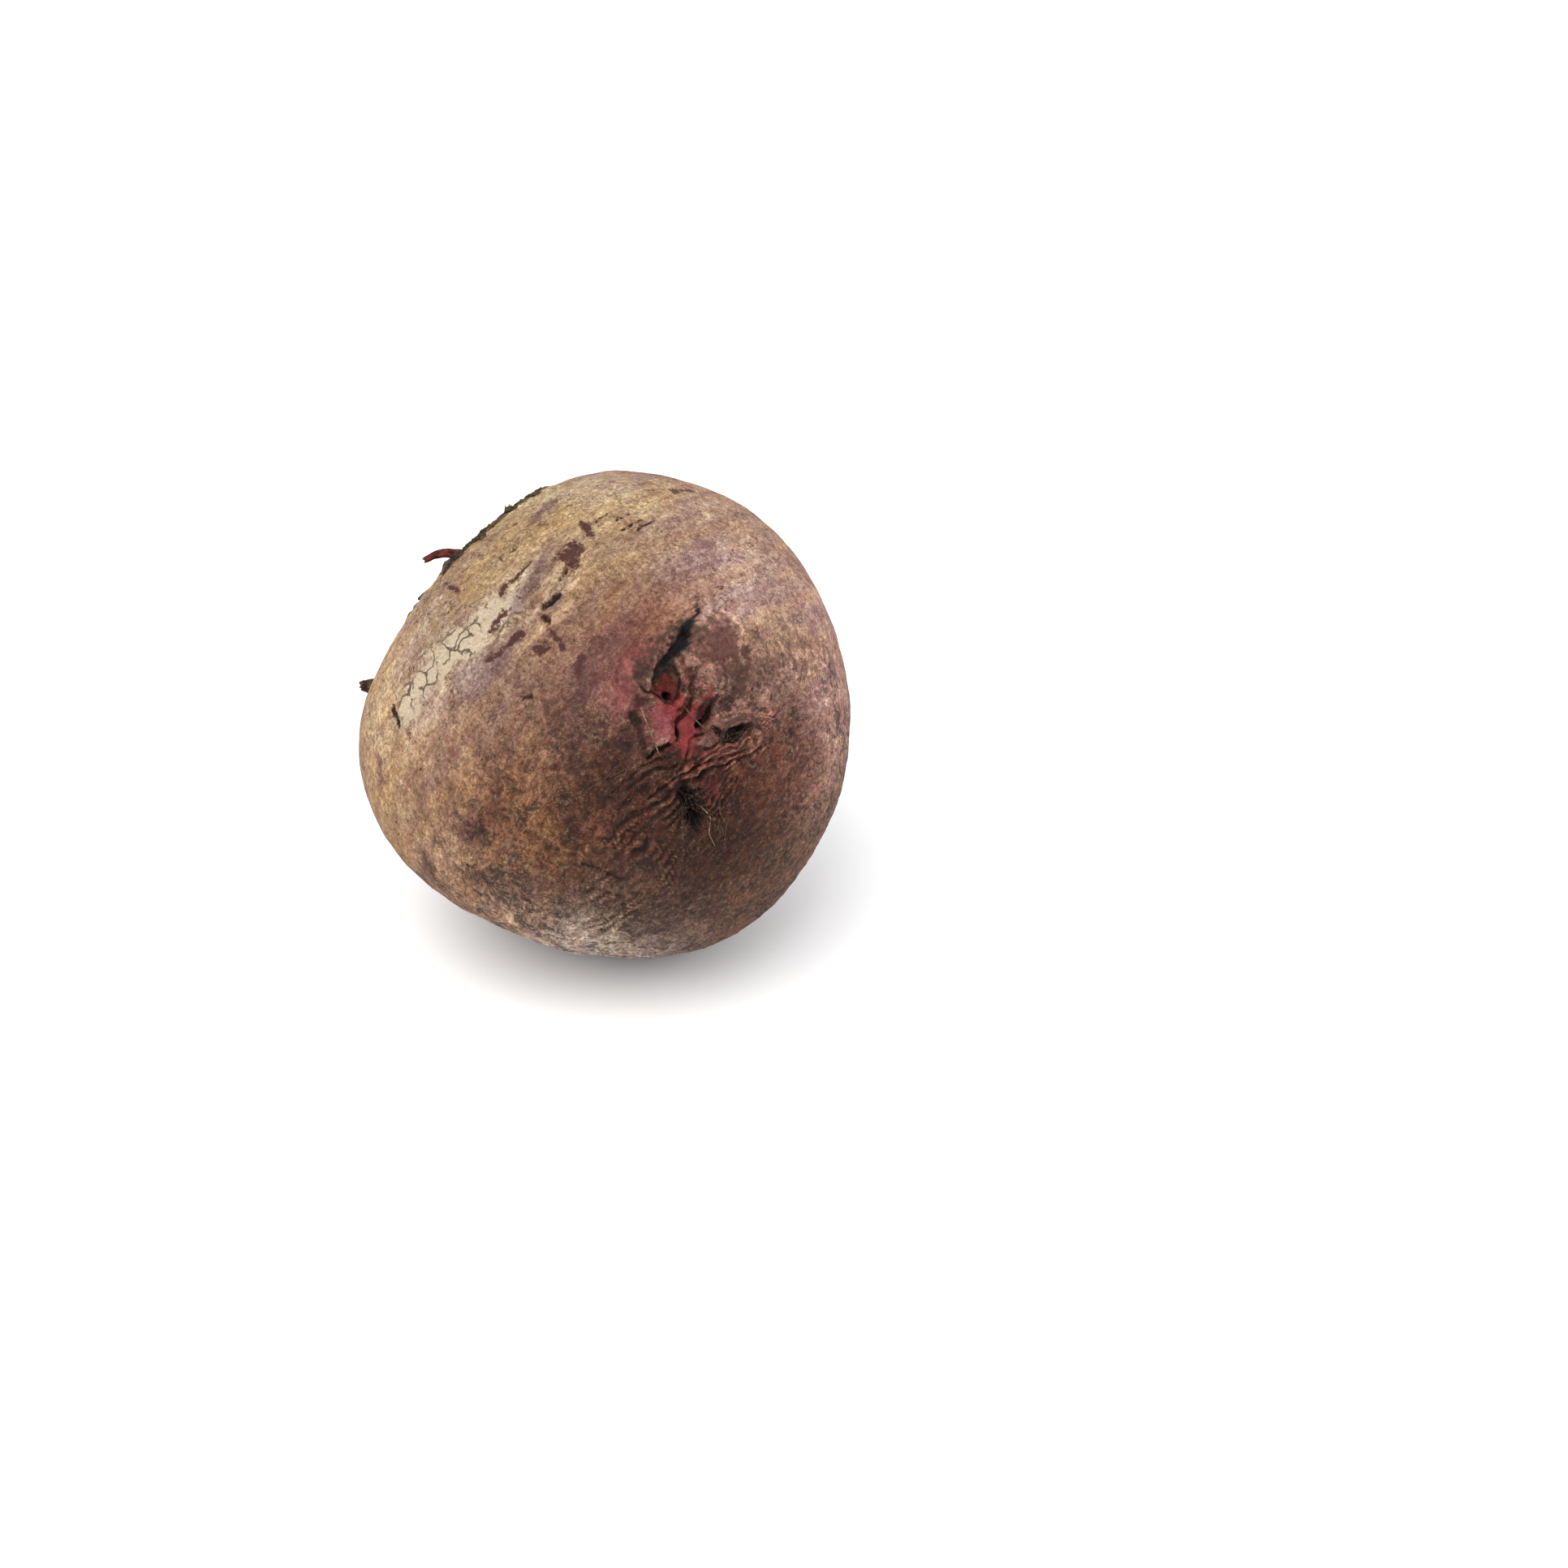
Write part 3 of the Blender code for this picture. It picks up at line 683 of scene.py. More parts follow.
def raiseSkin(where, marks):  # how far each point stands out, in mm, and the masks that the finish reads
    plan, spots, u, v = unevenPlan, where["spots"], where["u"], where["v"]

    def soft(part, seed, layers=3):
        return part["height"] * roughGrain(spots, part["width"] * mm, seed, layers)

    band = plan["bands"]
    swing = roughGrain(spots, band["swingWidth"] * mm, 11, 3)
    bands = band["height"] * np.cos(where["ring"] * band["perRadian"] + band["swing"] * swing)
    bands *= 0.4 + 0.6 * grain(spots, band["patchWidth"] * mm, 13)
    grit = plan["grit"]
    fine = roughGrain(spots, grit["width"] * mm, 17, 3)
    fine *= grit["height"] + grit["dirtyHeight"] * where["lowSide"]
    under = plan["underside"]
    bumpy = np.maximum(roughGrain(spots, under["width"] * mm, 19, 3), -0.2)
    bumpy *= where["underside"] * under["height"]
    folds, crease = foldHeight(u, v, spots)

    core = bell(where["hollowGap"] ** 2)
    (wideSize, wideHeight), (fineSize, fineHeight) = plan["crumple"]["wide"], plan["crumple"]["fine"]
    crests = wideHeight * ridged(spots, wideSize * mm, 83) + fineHeight * ridged(spots, fineSize * mm, 87)
    hollow = hollowHeight(u, v, grain(spots, 2.2 * mm, 81)) * ease(2.2 - where["hollowGap"], 0.0, 0.6)
    hollow += core * (crests - plan["crumple"]["drop"])
    crown, crownFace, crust = crownHeight(where["away"], where["clock"], marks["crust"], spots)
    ragged = soft(plan["ragged"], 23)
    marked = (
        plan["wrinkleHeight"] * ease(marks["wrinkle"], 0.0, 0.8)
        - plan["bareDepth"] * ease(marks["bare"] + ragged, -0.05, 0.2)
        - plan["knotDepth"] * ease(marks["knot"] + ragged * 0.6, 0.0, 0.7)
        - plan["tickDepth"] * ease(marks["ticks"] + ragged * 0.5, 0.1, 0.6)
        - plan["crackDepth"] * ease(marks["cracks"], 0.2, 0.8)
    )
    relief = folds + hollow + crown + marked
    height = soft(plan["lumps"], 3) + soft(plan["dimples"], 7) + bands + fine + bumpy + relief
    masks = dict(marks)
    masks.update({
        "knot": np.maximum(marks["knot"], -1),
        "crease": crease,
        "crownFace": crownFace,
        "crust": crust,
        "dirty": np.clip(where["lowSide"] + 0.35 * core, 0, 1),
        "relief": np.clip(relief + 0.6 * bands + 0.3 * bumpy, -1.5, 1.5),
    })
    growthLine = np.stack([where["ring"] + 0.02 * swing, where["round1"], where["round2"]], axis=1)
    return height, masks, growthLine


def makeSkin():
    mesh = baseSkin()
    places = readVectors(mesh.vertices, "co")
    normals = readVectors(mesh.vertices, "normal")
    print("skin has", len(places), "points and", len(mesh.polygons), "faces")
    where, marks = readSkin(places)
    height, masks, growthLine = raiseSkin(where, marks)
    low, high = unevenPlan["flatMargin"]
    height *= ease(places[:, 2], low * mm, high * mm)  # nothing stands out of the flat spot
    places = places + normals * (height * mm)[:, None]
    places[:, 2] = np.maximum(places[:, 2], 0.0)
    mesh.vertices.foreach_set("co", places.ravel())
    mesh.update()

    spots = where["spots"]
    rag = roughGrain(spots, 1.0 * mm, 91, 3) + 0.6 * grain(spots, 2.6 * mm, 95)
    tone, share = paintHollow(where["u"], where["v"], rag)
    addVectors(mesh, "skinTone", blendTones(where["ways"]))
    addVectors(mesh, "growthLine", growthLine)
    addVectors(mesh, "hollowTone", tone)
    addFloats(mesh, "hollowShare", share)
    for name, mask in masks.items():
        addFloats(mesh, name, mask)
    for polygon in mesh.polygons:
        polygon.use_smooth = True
    skin = bpy.data.objects.new("beetSkin", mesh)
    bpy.context.scene.collection.objects.link(skin)
    return skin


# small tools for materials
def newFinish(name):
    finish = bpy.data.materials.new(name)
    finish.use_nodes = True
    return finish, finish.node_tree, finish.node_tree.nodes["Principled BSDF"]


def put(tree, kind, sockets=None, **settings):  # a node, its settings, and values or links for its sockets
    made = tree.nodes.new(kind)
    for key, value in settings.items():
        setattr(made, key, value)
    for key, value in (sockets or {}).items():
        if isinstance(value, bpy.types.NodeSocket):
            tree.links.new(value, made.inputs[key])
        else:
            made.inputs[key].default_value = value
    return made


def readMask(tree, name):
    return put(tree, "ShaderNodeAttribute", attribute_name=name).outputs["Fac"]


def readVector(tree, name):
    return put(tree, "ShaderNodeAttribute", attribute_name=name).outputs["Vector"]


def sums(tree, kind, a, b=0.0):
    return put(tree, "ShaderNodeMath", {0: a, 1: b}, operation=kind).outputs[0]


def span(tree, value, low, high, toLow=0.0, toHigh=1.0):  # a smooth step from one range to another
    sockets = {"Value": value, "From Min": low, "From Max": high, "To Min": toLow, "To Max": toHigh}
    return put(tree, "ShaderNodeMapRange", sockets, interpolation_type="SMOOTHSTEP").outputs[0]


def speckle(tree, where, scale, detail=4.0, roughness=0.6, distortion=0.0):
    sockets = {"Vector": where, "Scale": scale, "Detail": detail}
    sockets.update({"Roughness": roughness, "Distortion": distortion})
    return put(tree, "ShaderNodeTexNoise", sockets).outputs["Fac"]


def stretched(tree, where, scale):
    return put(tree, "ShaderNodeMapping", {"Vector": where, "Scale": scale}).outputs["Vector"]


def over(tree, below, colour, mask, kind="MIX"):  # lays a colour over another where the mask is
    mix = put(tree, "ShaderNodeMix", data_type="RGBA", blend_type=kind)
    mix.clamp_factor = True
    tree.links.new(mask, mix.inputs[0])
    for socket, value in ((mix.inputs[6], below), (mix.inputs[7], colour)):
        if isinstance(value, bpy.types.NodeSocket):
            tree.links.new(value, socket)
        else:
            socket.default_value = (*value, 1)
    return mix.outputs[2]


def tint(tree, below, value, dark, light, low=0.3, high=0.7):  # multiplies by a colour that runs with a value
    ramp = put(tree, "ShaderNodeValToRGB", {0: value})
    ramp.color_ramp.elements[0].position = low
    ramp.color_ramp.elements[1].position = high
    ramp.color_ramp.elements[0].color = (*dark, 1)
    ramp.color_ramp.elements[1].color = (*light, 1)
    mix = put(tree, "ShaderNodeMix", data_type="RGBA", blend_type="MULTIPLY")
    mix.inputs[0].default_value = 1.0
    tree.links.new(below, mix.inputs[6])
    tree.links.new(ramp.outputs[0], mix.inputs[7])
    return mix.outputs[2]


skinFinish = {
    "noises": {  # what each follows (the spot, or the growth lines), scale, detail, roughness, distortion
        "cloud": ("spot", 85, 5, 0.6, 0.5),
        "blotch": ("spot", 300, 6, 0.7, 0.8),
        "grit": ("spot", 1250, 5, 0.7, 0.5),
        "dust": ("spot", 2900, 3, 0.7, 0.0),
        "streak": ("lines", (13, 2.2, 2.2), 6, 0.7, 0.8),
        "dashes": ("lines", (66, 18, 18), 5, 0.75, 0.8),
        "hues": ("lines", (9, 2.2, 2.2), 4, 0.6, 0.4),
        "coarse": ("lines", (48, 30, 30), 7, 0.8, 0.7),
        "pale": ("spot", 1000, 6, 0.85, 0.3),
        "dirtPatch": ("spot", 130, 4, 0.6, 0.0),
        "fleck": ("spot", 560, 6, 0.85, 1.2),
        "fleckPatch": ("spot", 170, 3, 0.6, 0.0),
        "tick": ("spot", 360, 4, 0.7, 1.4),
        "tickPatch": ("spot", 420, 2, 0.5, 0.0),
        "brown": ("spot", 620, 6, 0.82, 1.0),
        "webPatch": ("spot", 190, 3, 0.6, 0.0),
        "rag": ("spot", 1100, 6, 0.8, 0.6),
        "softRag": ("spot", 330, 6, 0.75, 0.5),
    },
    "tints": (  # noise, colours to multiply by where it is low and where it is high, and those two levels
        ("cloud", (0.86, 0.81, 0.83), (1.12, 1.14, 1.12), 0.34, 0.66),
        ("hues", (1.04, 1.0, 0.91), (0.96, 0.97, 1.10), 0.40, 0.60),
        ("streak", (0.80, 0.72, 0.78), (1.16, 1.18, 1.11), 0.36, 0.64),
        ("dashes", (0.72, 0.62, 0.62), (1.22, 1.27, 1.24), 0.36, 0.64),
        ("blotch", (0.78, 0.68, 0.68), (1.15, 1.18, 1.15), 0.36, 0.64),
        ("grit", (0.66, 0.58, 0.56), (1.27, 1.30, 1.30), 0.38, 0.62),
        ("dust", (0.70, 0.66, 0.64), (1.26, 1.28, 1.29), 0.34, 0.66),
    ),
    "dirtyTint": ((0.42, 0.38, 0.38), (1.55, 1.52, 1.48), 0.40, 0.62),
    "creamTint": ((0.78, 0.74, 0.70), (1.15, 1.16, 1.18), 0.35, 0.65),
    "corkTints": (
        ("grit", (0.50, 0.45, 0.40), (1.45, 1.45, 1.45), 0.35, 0.65),
        ("blotch", (0.50, 0.42, 0.38), (1.30, 1.30, 1.30), 0.36, 0.62),
    ),
    "fleshTints": (
        ("grit", (0.62, 0.55, 0.55), (1.36, 1.38, 1.38), 0.35, 0.65),
        ("blotch", (0.72, 0.66, 0.66), (1.25, 1.30, 1.30), 0.36, 0.64),
    ),
    # painted shade in the long wrinkles' valleys and painted highlight on their crests
    "creaseShadeTint": ((0.40, 0.34, 0.32), (1.55, 1.50, 1.45), 0.1, 0.9),
    # painted shade in the skin's low places and painted highlight on its high places, read from its relief
    "reliefShadeTint": ((0.40, 0.35, 0.34), (1.42, 1.40, 1.36), 0.15, 0.85),
    "bareColour": (0.075, 0.024, 0.021),
    "bareEdgeColour": (0.12, 0.06, 0.045),
    "softMaroon": (0.11, 0.045, 0.04),
    "smudgeTint": (0.56, 0.50, 0.60),
    "redDotColour": (0.15, 0.036, 0.03),
    "fleckColour": (0.042, 0.02, 0.014),
    "tickColour": (0.04, 0.021, 0.011),
    "orangeColour": (0.29, 0.165, 0.062),
    "creamColour": (0.50, 0.42, 0.31),
    "crackColour": (0.04, 0.024, 0.015),
    "wrinkleColour": (0.24, 0.175, 0.12),
    "knotColour": (0.018, 0.013, 0.009),
    "dirtColour": (0.021, 0.0105, 0.0085),
    "paleDirtColour": (0.205, 0.150, 0.094),
    "corkColour": (0.18, 0.125, 0.078),
    "crustColour": (0.034, 0.024, 0.014),
    "crackWidth": (0.075, 0.03),  # of the pale patch's web of cracks, as a share of its cells
    "crackCells": 330.0,
    "crackWander": (420.0, 0.003),
    "roughness": (0.5, 0.8),
    "specular": 0.14,
    "bumpDepth": 0.3 * mm,
    "bumpStrength": 0.9,
}


def beetSkinFinish():
    plan = skinFinish
    finish, tree, shader = newFinish("beetSkinFinish")
    spot = put(tree, "ShaderNodeTexCoord").outputs["Object"]
    lines = readVector(tree, "growthLine")
    dirty = readMask(tree, "dirty")
    noises = {}
    for name, (follows, scale, *grainy) in plan["noises"].items():
        if follows == "lines":
            noises[name] = speckle(tree, stretched(tree, lines, scale), 1.0, *grainy)
        else:
            noises[name] = speckle(tree, spot, scale, *grainy)

    def part(mask, share):
        return sums(tree, "MULTIPLY", mask, share)

    def both(a, b):
        return sums(tree, "MULTIPLY", a, b)

    def swings(name, reach):  # a noise as a swing about zero
        return part(sums(tree, "SUBTRACT", noises[name], 0.5), reach)

    def tinted(below, tints):
        for name, *levels in tints:
            below = tint(tree, below, noises[name], *levels)
        return below

    colour = readVector(tree, "skinTone")
    lightness = put(tree, "ShaderNodeRGBToBW", {0: colour}).outputs[0]
    colour = tinted(colour, plan["tints"])

    # dark dirt and pale cork grains, thickest on the low side
    dirtNoise = speckle(tree, stretched(tree, spot, (1.0, 1.0, 0.75)), 430, 8, 0.8, 1.0)
    dirtLevel = sums(tree, "ADD", dirtNoise, swings("dashes", 0.5))
    dirtLevel = sums(tree, "ADD", dirtLevel, swings("dirtPatch", 0.5))
    dirtMask = both(span(tree, dirtLevel, 0.49, 0.58), dirty)
    colour = over(tree, colour, plan["dirtColour"], part(dirtMask, 0.84))
    paleMask = both(span(tree, noises["pale"], 0.50, 0.64), dirty)
    paleMask = both(paleMask, span(tree, lightness, 0.0, 0.11, 0.22, 0.85))
    colour = over(tree, colour, plan["paleDirtColour"], paleMask)
    coarse = tint(tree, colour, noises["coarse"], *plan["dirtyTint"])
    colour = over(tree, colour, coarse, part(dirty, 0.85))

    # small dark flecks and short curved ticks
    fleck = both(span(tree, noises["fleck"], 0.605, 0.645), span(tree, noises["fleckPatch"], 0.42, 0.56))
    colour = over(tree, colour, plan["fleckColour"], part(fleck, 0.8))
    thin = span(tree, sums(tree, "ABSOLUTE", sums(tree, "SUBTRACT", noises["tick"], 0.5)), 0.022, 0.008)
    tick = both(thin, span(tree, noises["tickPatch"], 0.52, 0.60))
    colour = over(tree, colour, plan["fleckColour"], part(tick, 0.8))

    # the orange-flecked shoulder
    shoulder = span(tree, readMask(tree, "orange"), 0.0, 0.6)
    orange = both(shoulder, span(tree, noises["blotch"], 0.50, 0.60))
    brown = both(shoulder, span(tree, noises["brown"], 0.575, 0.60))
    colour = over(tree, colour, plan["orangeColour"], part(orange, 0.55))
    colour = over(tree, colour, plan["tickColour"], part(brown, 0.88))

    # the pale patch and its web of cracks
    cream = span(tree, sums(tree, "ADD", readMask(tree, "cream"), swings("blotch", 2.2)), 0.05, 0.6)
    creamTone = tint(tree, over(tree, colour, plan["creamColour"], cream), noises["dust"], *plan["creamTint"])
    colour = over(tree, colour, creamTone, part(cream, 0.85))
    wanderScale, wanderReach = plan["crackWander"]
    wander = {"Vector": spot, "Scale": wanderScale, "Detail": 3.0}
    shifted = put(tree, "ShaderNodeTexNoise", wander).outputs["Color"]
    wobble = put(tree, "ShaderNodeVectorMath", {0: shifted, 3: wanderReach}, operation="SCALE").outputs[0]
    where = put(tree, "ShaderNodeVectorMath", {0: spot, 1: wobble}, operation="ADD").outputs[0]
    cells = {"Vector": where, "Scale": plan["crackCells"]}
    web = put(tree, "ShaderNodeTexVoronoi", cells, feature="DISTANCE_TO_EDGE").outputs[0]
    webMask = both(span(tree, web, *plan["crackWidth"]), cream)
    webMask = both(webMask, span(tree, noises["webPatch"], 0.47, 0.55))
    colour = over(tree, colour, plan["crackColour"], part(webMask, 0.85))

    # marks with ragged edges
    rag, softRag = swings("rag", 4.5), swings("softRag", 3.2)
    bareEdge = sums(tree, "ADD", softRag, part(rag, 1.3))

    def marked(name, low, high, edge):
        return span(tree, sums(tree, "ADD", readMask(tree, name), edge), low, high)

    bare = marked("bare", 0.10, 0.22, bareEdge)
    bareGrain = part(span(tree, noises["grit"], 0.5, 0.65), 0.35)
    bareTone = over(tree, plan["bareColour"], plan["softMaroon"], bareGrain)
    colour = over(tree, colour, plan["smudgeTint"], marked("smudge", -0.1, 0.9, softRag), "MULTIPLY")
    colour = over(tree, colour, plan["redDotColour"], part(marked("redDots", 0.75, 1.0, rag), 0.55))
    colour = over(tree, colour, plan["wrinkleColour"], part(marked("wrinkle", 0.2, 1.0, softRag), 0.5))
    colour = over(tree, colour, plan["tickColour"], marked("ticks", 0.3, 0.5, rag))
    colour = over(tree, colour, plan["bareEdgeColour"], part(marked("bare", -0.15, 0.2, bareEdge), 0.7))
    colour = over(tree, colour, bareTone, part(bare, 0.93))
    colour = over(tree, colour, plan["crackColour"], marked("cracks", 0.3, 0.6, rag))
    colour = over(tree, colour, plan["knotColour"], part(marked("knot", 0.0, 0.6, rag), 0.9))

    # the crown's cork and crust, then the hollow's flesh and rot, with painted shade in its pits
    cork = marked("crownFace", 0.25, 0.75, part(softRag, 0.3))
    corkTone = tinted(over(tree, colour, plan["corkColour"], cork), plan["corkTints"])
    colour = over(tree, colour, corkTone, cork)
    crust = marked("crust", 0.25, 0.6, part(rag, 0.22))
    colour = over(tree, colour, plan["crustColour"], part(crust, 0.88))
    flesh = marked("hollowShare", 0.12, 0.9, part(rag, 0.10))
    colour = over(tree, colour, tinted(readVector(tree, "hollowTone"), plan["fleshTints"]), flesh)

    # painted shade darkens the valleys and painted highlight pales the crests, following the folds and the
    # skin's relief
    crease = readMask(tree, "crease")
    creaseShadeLevel = span(tree, sums(tree, "ADD", crease, part(softRag, 0.22)), -0.8, 0.8)
    creaseShaded = tint(tree, colour, creaseShadeLevel, *plan["creaseShadeTint"])
    colour = over(tree, colour, creaseShaded, span(tree, sums(tree, "ABSOLUTE", crease), 0.02, 0.4))
    # painted shade and highlight from the skin's relief: low places darker, high places lighter
    colour = tint(tree, colour, span(tree, readMask(tree, "relief"), -0.45, 0.45), *plan["reliefShadeTint"])
    tree.links.new(colour, shader.inputs["Base Color"])

    wet = part(sums(tree, "MAXIMUM", bare, flesh), -0.3)
    gloss = span(tree, sums(tree, "ADD", noises["grit"], wet), 0.15, 0.6, *plan["roughness"])
    tree.links.new(gloss, shader.inputs["Roughness"])
    shader.inputs["Specular IOR Level"].default_value = plan["specular"]
    high = sums(tree, "ADD", part(noises["grit"], 0.8), part(noises["dust"], 0.3))
    high = sums(tree, "ADD", high, part(dirtNoise, 0.6))
    high = sums(tree, "SUBTRACT", high, part(sums(tree, "MAXIMUM", webMask, fleck), 0.5))
    sockets = {"Height": high, "Distance": plan["bumpDepth"], "Strength": plan["bumpStrength"]}
    tree.links.new(put(tree, "ShaderNodeBump", sockets).outputs[0], shader.inputs["Normal"])
    return finish


beetSkin = makeSkin()
beetSkin.data.materials.append(beetSkinFinish())
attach(beetSkin, "root")
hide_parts("swollen_root")
print("skin made")


# places on the finished skin
skinTree = BVHTree.FromPolygons(
    [vert.co.copy() for vert in beetSkin.data.vertices],
    [list(polygon.vertices) for polygon in beetSkin.data.polygons],
)


def skinSpot(way, lift=0.0):  # the place so far above the skin along a heading, and the way the skin faces
    spot, normal, face, far = skinTree.ray_cast(Vector(rootMiddle), Vector(way).normalized())
    return spot + normal * lift, normal


def hollowHeading(across, along):  # mm to the right of and above the hollow's middle
    right, up = sidesOf(hollowWay)
    away = math.hypot(across, along)
    turn = away * mm / rootPlan["radius"]
    side = (right * across + up * along) / max(away, 1e-9)
    return hollowWay * math.cos(turn) + side * math.sin(turn)


def crownSide(clock):
    right, up = sidesOf(crownWay)
    return right * math.cos(math.radians(clock)) + up * math.sin(math.radians(clock))


def crownHeading(clock, away):
    way = crownWay * rootPlan["crownHeight"] + crownSide(clock) * away
    return way / np.linalg.norm(way)


def smoothRoute(stops, steps):  # points along one smooth curve through the stops
    ends = [stops[0] * 2 - stops[1], *stops, stops[-1] * 2 - stops[-2]]
    route = []
    for a, b, c, d in zip(ends, ends[1:], ends[2:], ends[3:]):
        for step in range(steps):
            t = step / steps
            bend = (a * 2 - b * 5 + c * 4 - d) * t**2 + (b * 3 - a - c * 3 + d) * t**3
            route.append(b + ((c - a) * t + bend) / 2)
    return route + [stops[-1]]


def sweepTube(bm, route, radii, sides, flat=1.0):
    # a closed tube along a route: one ring, pulled out step by step
    ahead = (route[1] - route[0]).normalized()
    side = ahead.orthogonal().normalized()
    frames = []
    for index, spot in enumerate(route):
        onward = (route[min(index + 1, len(route) - 1)] - route[max(index - 1, 0)]).normalized()
        side = (side - onward * side.dot(onward)).normalized()
        turn = Matrix((side, onward.cross(side), onward)).transposed().to_4x4()
        size = Matrix.Diagonal((radii[index], radii[index] * flat, radii[index], 1))
        frames.append(Matrix.Translation(spot) @ turn @ size)
    made = bmesh.ops.create_circle(bm, cap_ends=True, segments=sides, radius=1.0, matrix=frames[0])["verts"]
    everything = list(made)
    edges = list(dict.fromkeys(edge for vert in made for edge in vert.link_edges if edge.is_boundary))
    for before, after in zip(frames, frames[1:]):
        grown = bmesh.ops.extrude_edge_only(bm, edges=edges)["geom"]
        verts = [item for item in grown if isinstance(item, bmesh.types.BMVert)]
        edges = [item for item in grown if isinstance(item, bmesh.types.BMEdge)]
        bmesh.ops.transform(bm, matrix=after @ before.inverted(), verts=verts)
        everything += verts
    bmesh.ops.contextual_create(bm, geom=edges)
    return everything


def finishPiece(bm, name, finish, smooth=True):
    bmesh.ops.recalc_face_normals(bm, faces=bm.faces[:])
    mesh = bpy.data.meshes.new(name)
    bm.to_mesh(mesh)
    bm.free()
    for polygon in mesh.polygons:
        polygon.use_smooth = smooth
    mesh.materials.append(finish)
    piece = bpy.data.objects.new(name, mesh)
    bpy.context.scene.collection.objects.link(piece)
    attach(piece, "root")
    return piece


def fibre(coarse, fine, dark, light, roughness, bump):  # noise scales, two colours, roughness, bump in mm
    plan = {"coarse": coarse, "fine": fine, "dark": dark, "light": light}
    plan.update({"roughness": roughness, "bump": bump * mm, "specular": 0.14})
    return plan


def fibreFinish(name, plan):  # dry plant fibre: patches of two colours with dark specks
    finish, tree, shader = newFinish(name)
    spot = put(tree, "ShaderNodeTexCoord").outputs["Object"]
    coarse = speckle(tree, spot, plan["coarse"], 5, 0.7, 1.0)
    fine = speckle(tree, spot, plan["fine"], 5, 0.75, 0.5)
    colour = over(tree, plan["dark"], plan["light"], span(tree, coarse, 0.40, 0.62))
    colour = tint(tree, colour, fine, (0.55, 0.5, 0.48), (1.4, 1.4, 1.4), 0.34, 0.66)
    tree.links.new(colour, shader.inputs["Base Color"])
    gloss = span(tree, fine, 0.3, 0.7, *plan["roughness"])
    tree.links.new(gloss, shader.inputs["Roughness"])
    shader.inputs["Specular IOR Level"].default_value = plan["specular"]
    bump = put(tree, "ShaderNodeBump", {"Height": fine, "Distance": plan["bump"], "Strength": 0.8})
    tree.links.new(bump.outputs[0], shader.inputs["Normal"])
    return finish


# leaf stalk stubs on the crown's rim
stalkPlan = {
    "radius": 1.1 * mm,
    "taper": 0.45,  # share of its radius that a stub loses by its tip
    "steps": 6,  # points between two stops
    "sides": 20,
    "ribs": 0.13,  # how deep the ribs are, as a share of the radius
    "flare": 0.55,  # how much wider its foot is
    "sunk": 0.5 * mm,  # how deep its foot is in the skin
    "straight": 0.6,  # how far its middle is pulled towards a straight line
    "torn": 0.55 * mm,  # how far the tip's edge is torn
    "strands": 5,  # loose fibres at the tip
    "strandRadius": 0.10 * mm,
    "strandReach": (0.25 * mm, 0.6 * mm),
    "red": fibre(700, 2600, (0.045, 0.008, 0.006), (0.14, 0.024, 0.017), (0.4, 0.65), 0.15),
    "dry": fibre(600, 2200, (0.02, 0.013, 0.007), (0.11, 0.07, 0.035), (0.6, 0.85), 0.2),
    "fleshy": fibre(500, 2200, (0.06, 0.02, 0.014), (0.17, 0.095, 0.058), (0.5, 0.75), 0.15),
}
# node, clock angle round the crown, mm beyond the outer scars, length in mm, thickness,
# share of its length that it leans over, clock angle that it leans to, finish
stalks = (
    ("leaf_stalk_red", 58, 2.0, 5.2, 0.8, 0.9, -40, "red"),
    ("leaf_stalk_dry_side", -13, 4.0, 1.8, 1.3, 0.5, 20, "dry"),
    ("leaf_stalk_dry_top", 86, 2.0, 1.6, 1.0, 0.3, 86, "dry"),
    ("leaf_stalk_low", -75, -1.5, 3.6, 1.4, 0.5, -60, "fleshy"),
    ("leaf_stalk_back", -128, 0.5, 4.4, 1.2, 0.5, -140, "red"),
    ("leaf_stalk_right", 158, -1.0, 3.2, 1.3, 0.4, 170, "fleshy"),
    ("leaf_stalk_inner_a", 95, -13.0, 3.0, 0.9, 0.2, 60, "red"),
    ("leaf_stalk_inner_b", -140, -12.0, 3.8, 1.0, 0.3, -150, "fleshy"),
    ("leaf_stalk_inner_c", -20, -13.5, 2.4, 0.8, 0.2, 0, "dry"),
)


def camelName(name):
    words = name.split("_")
    return words[0] + "".join(word.capitalize() for word in words[1:])


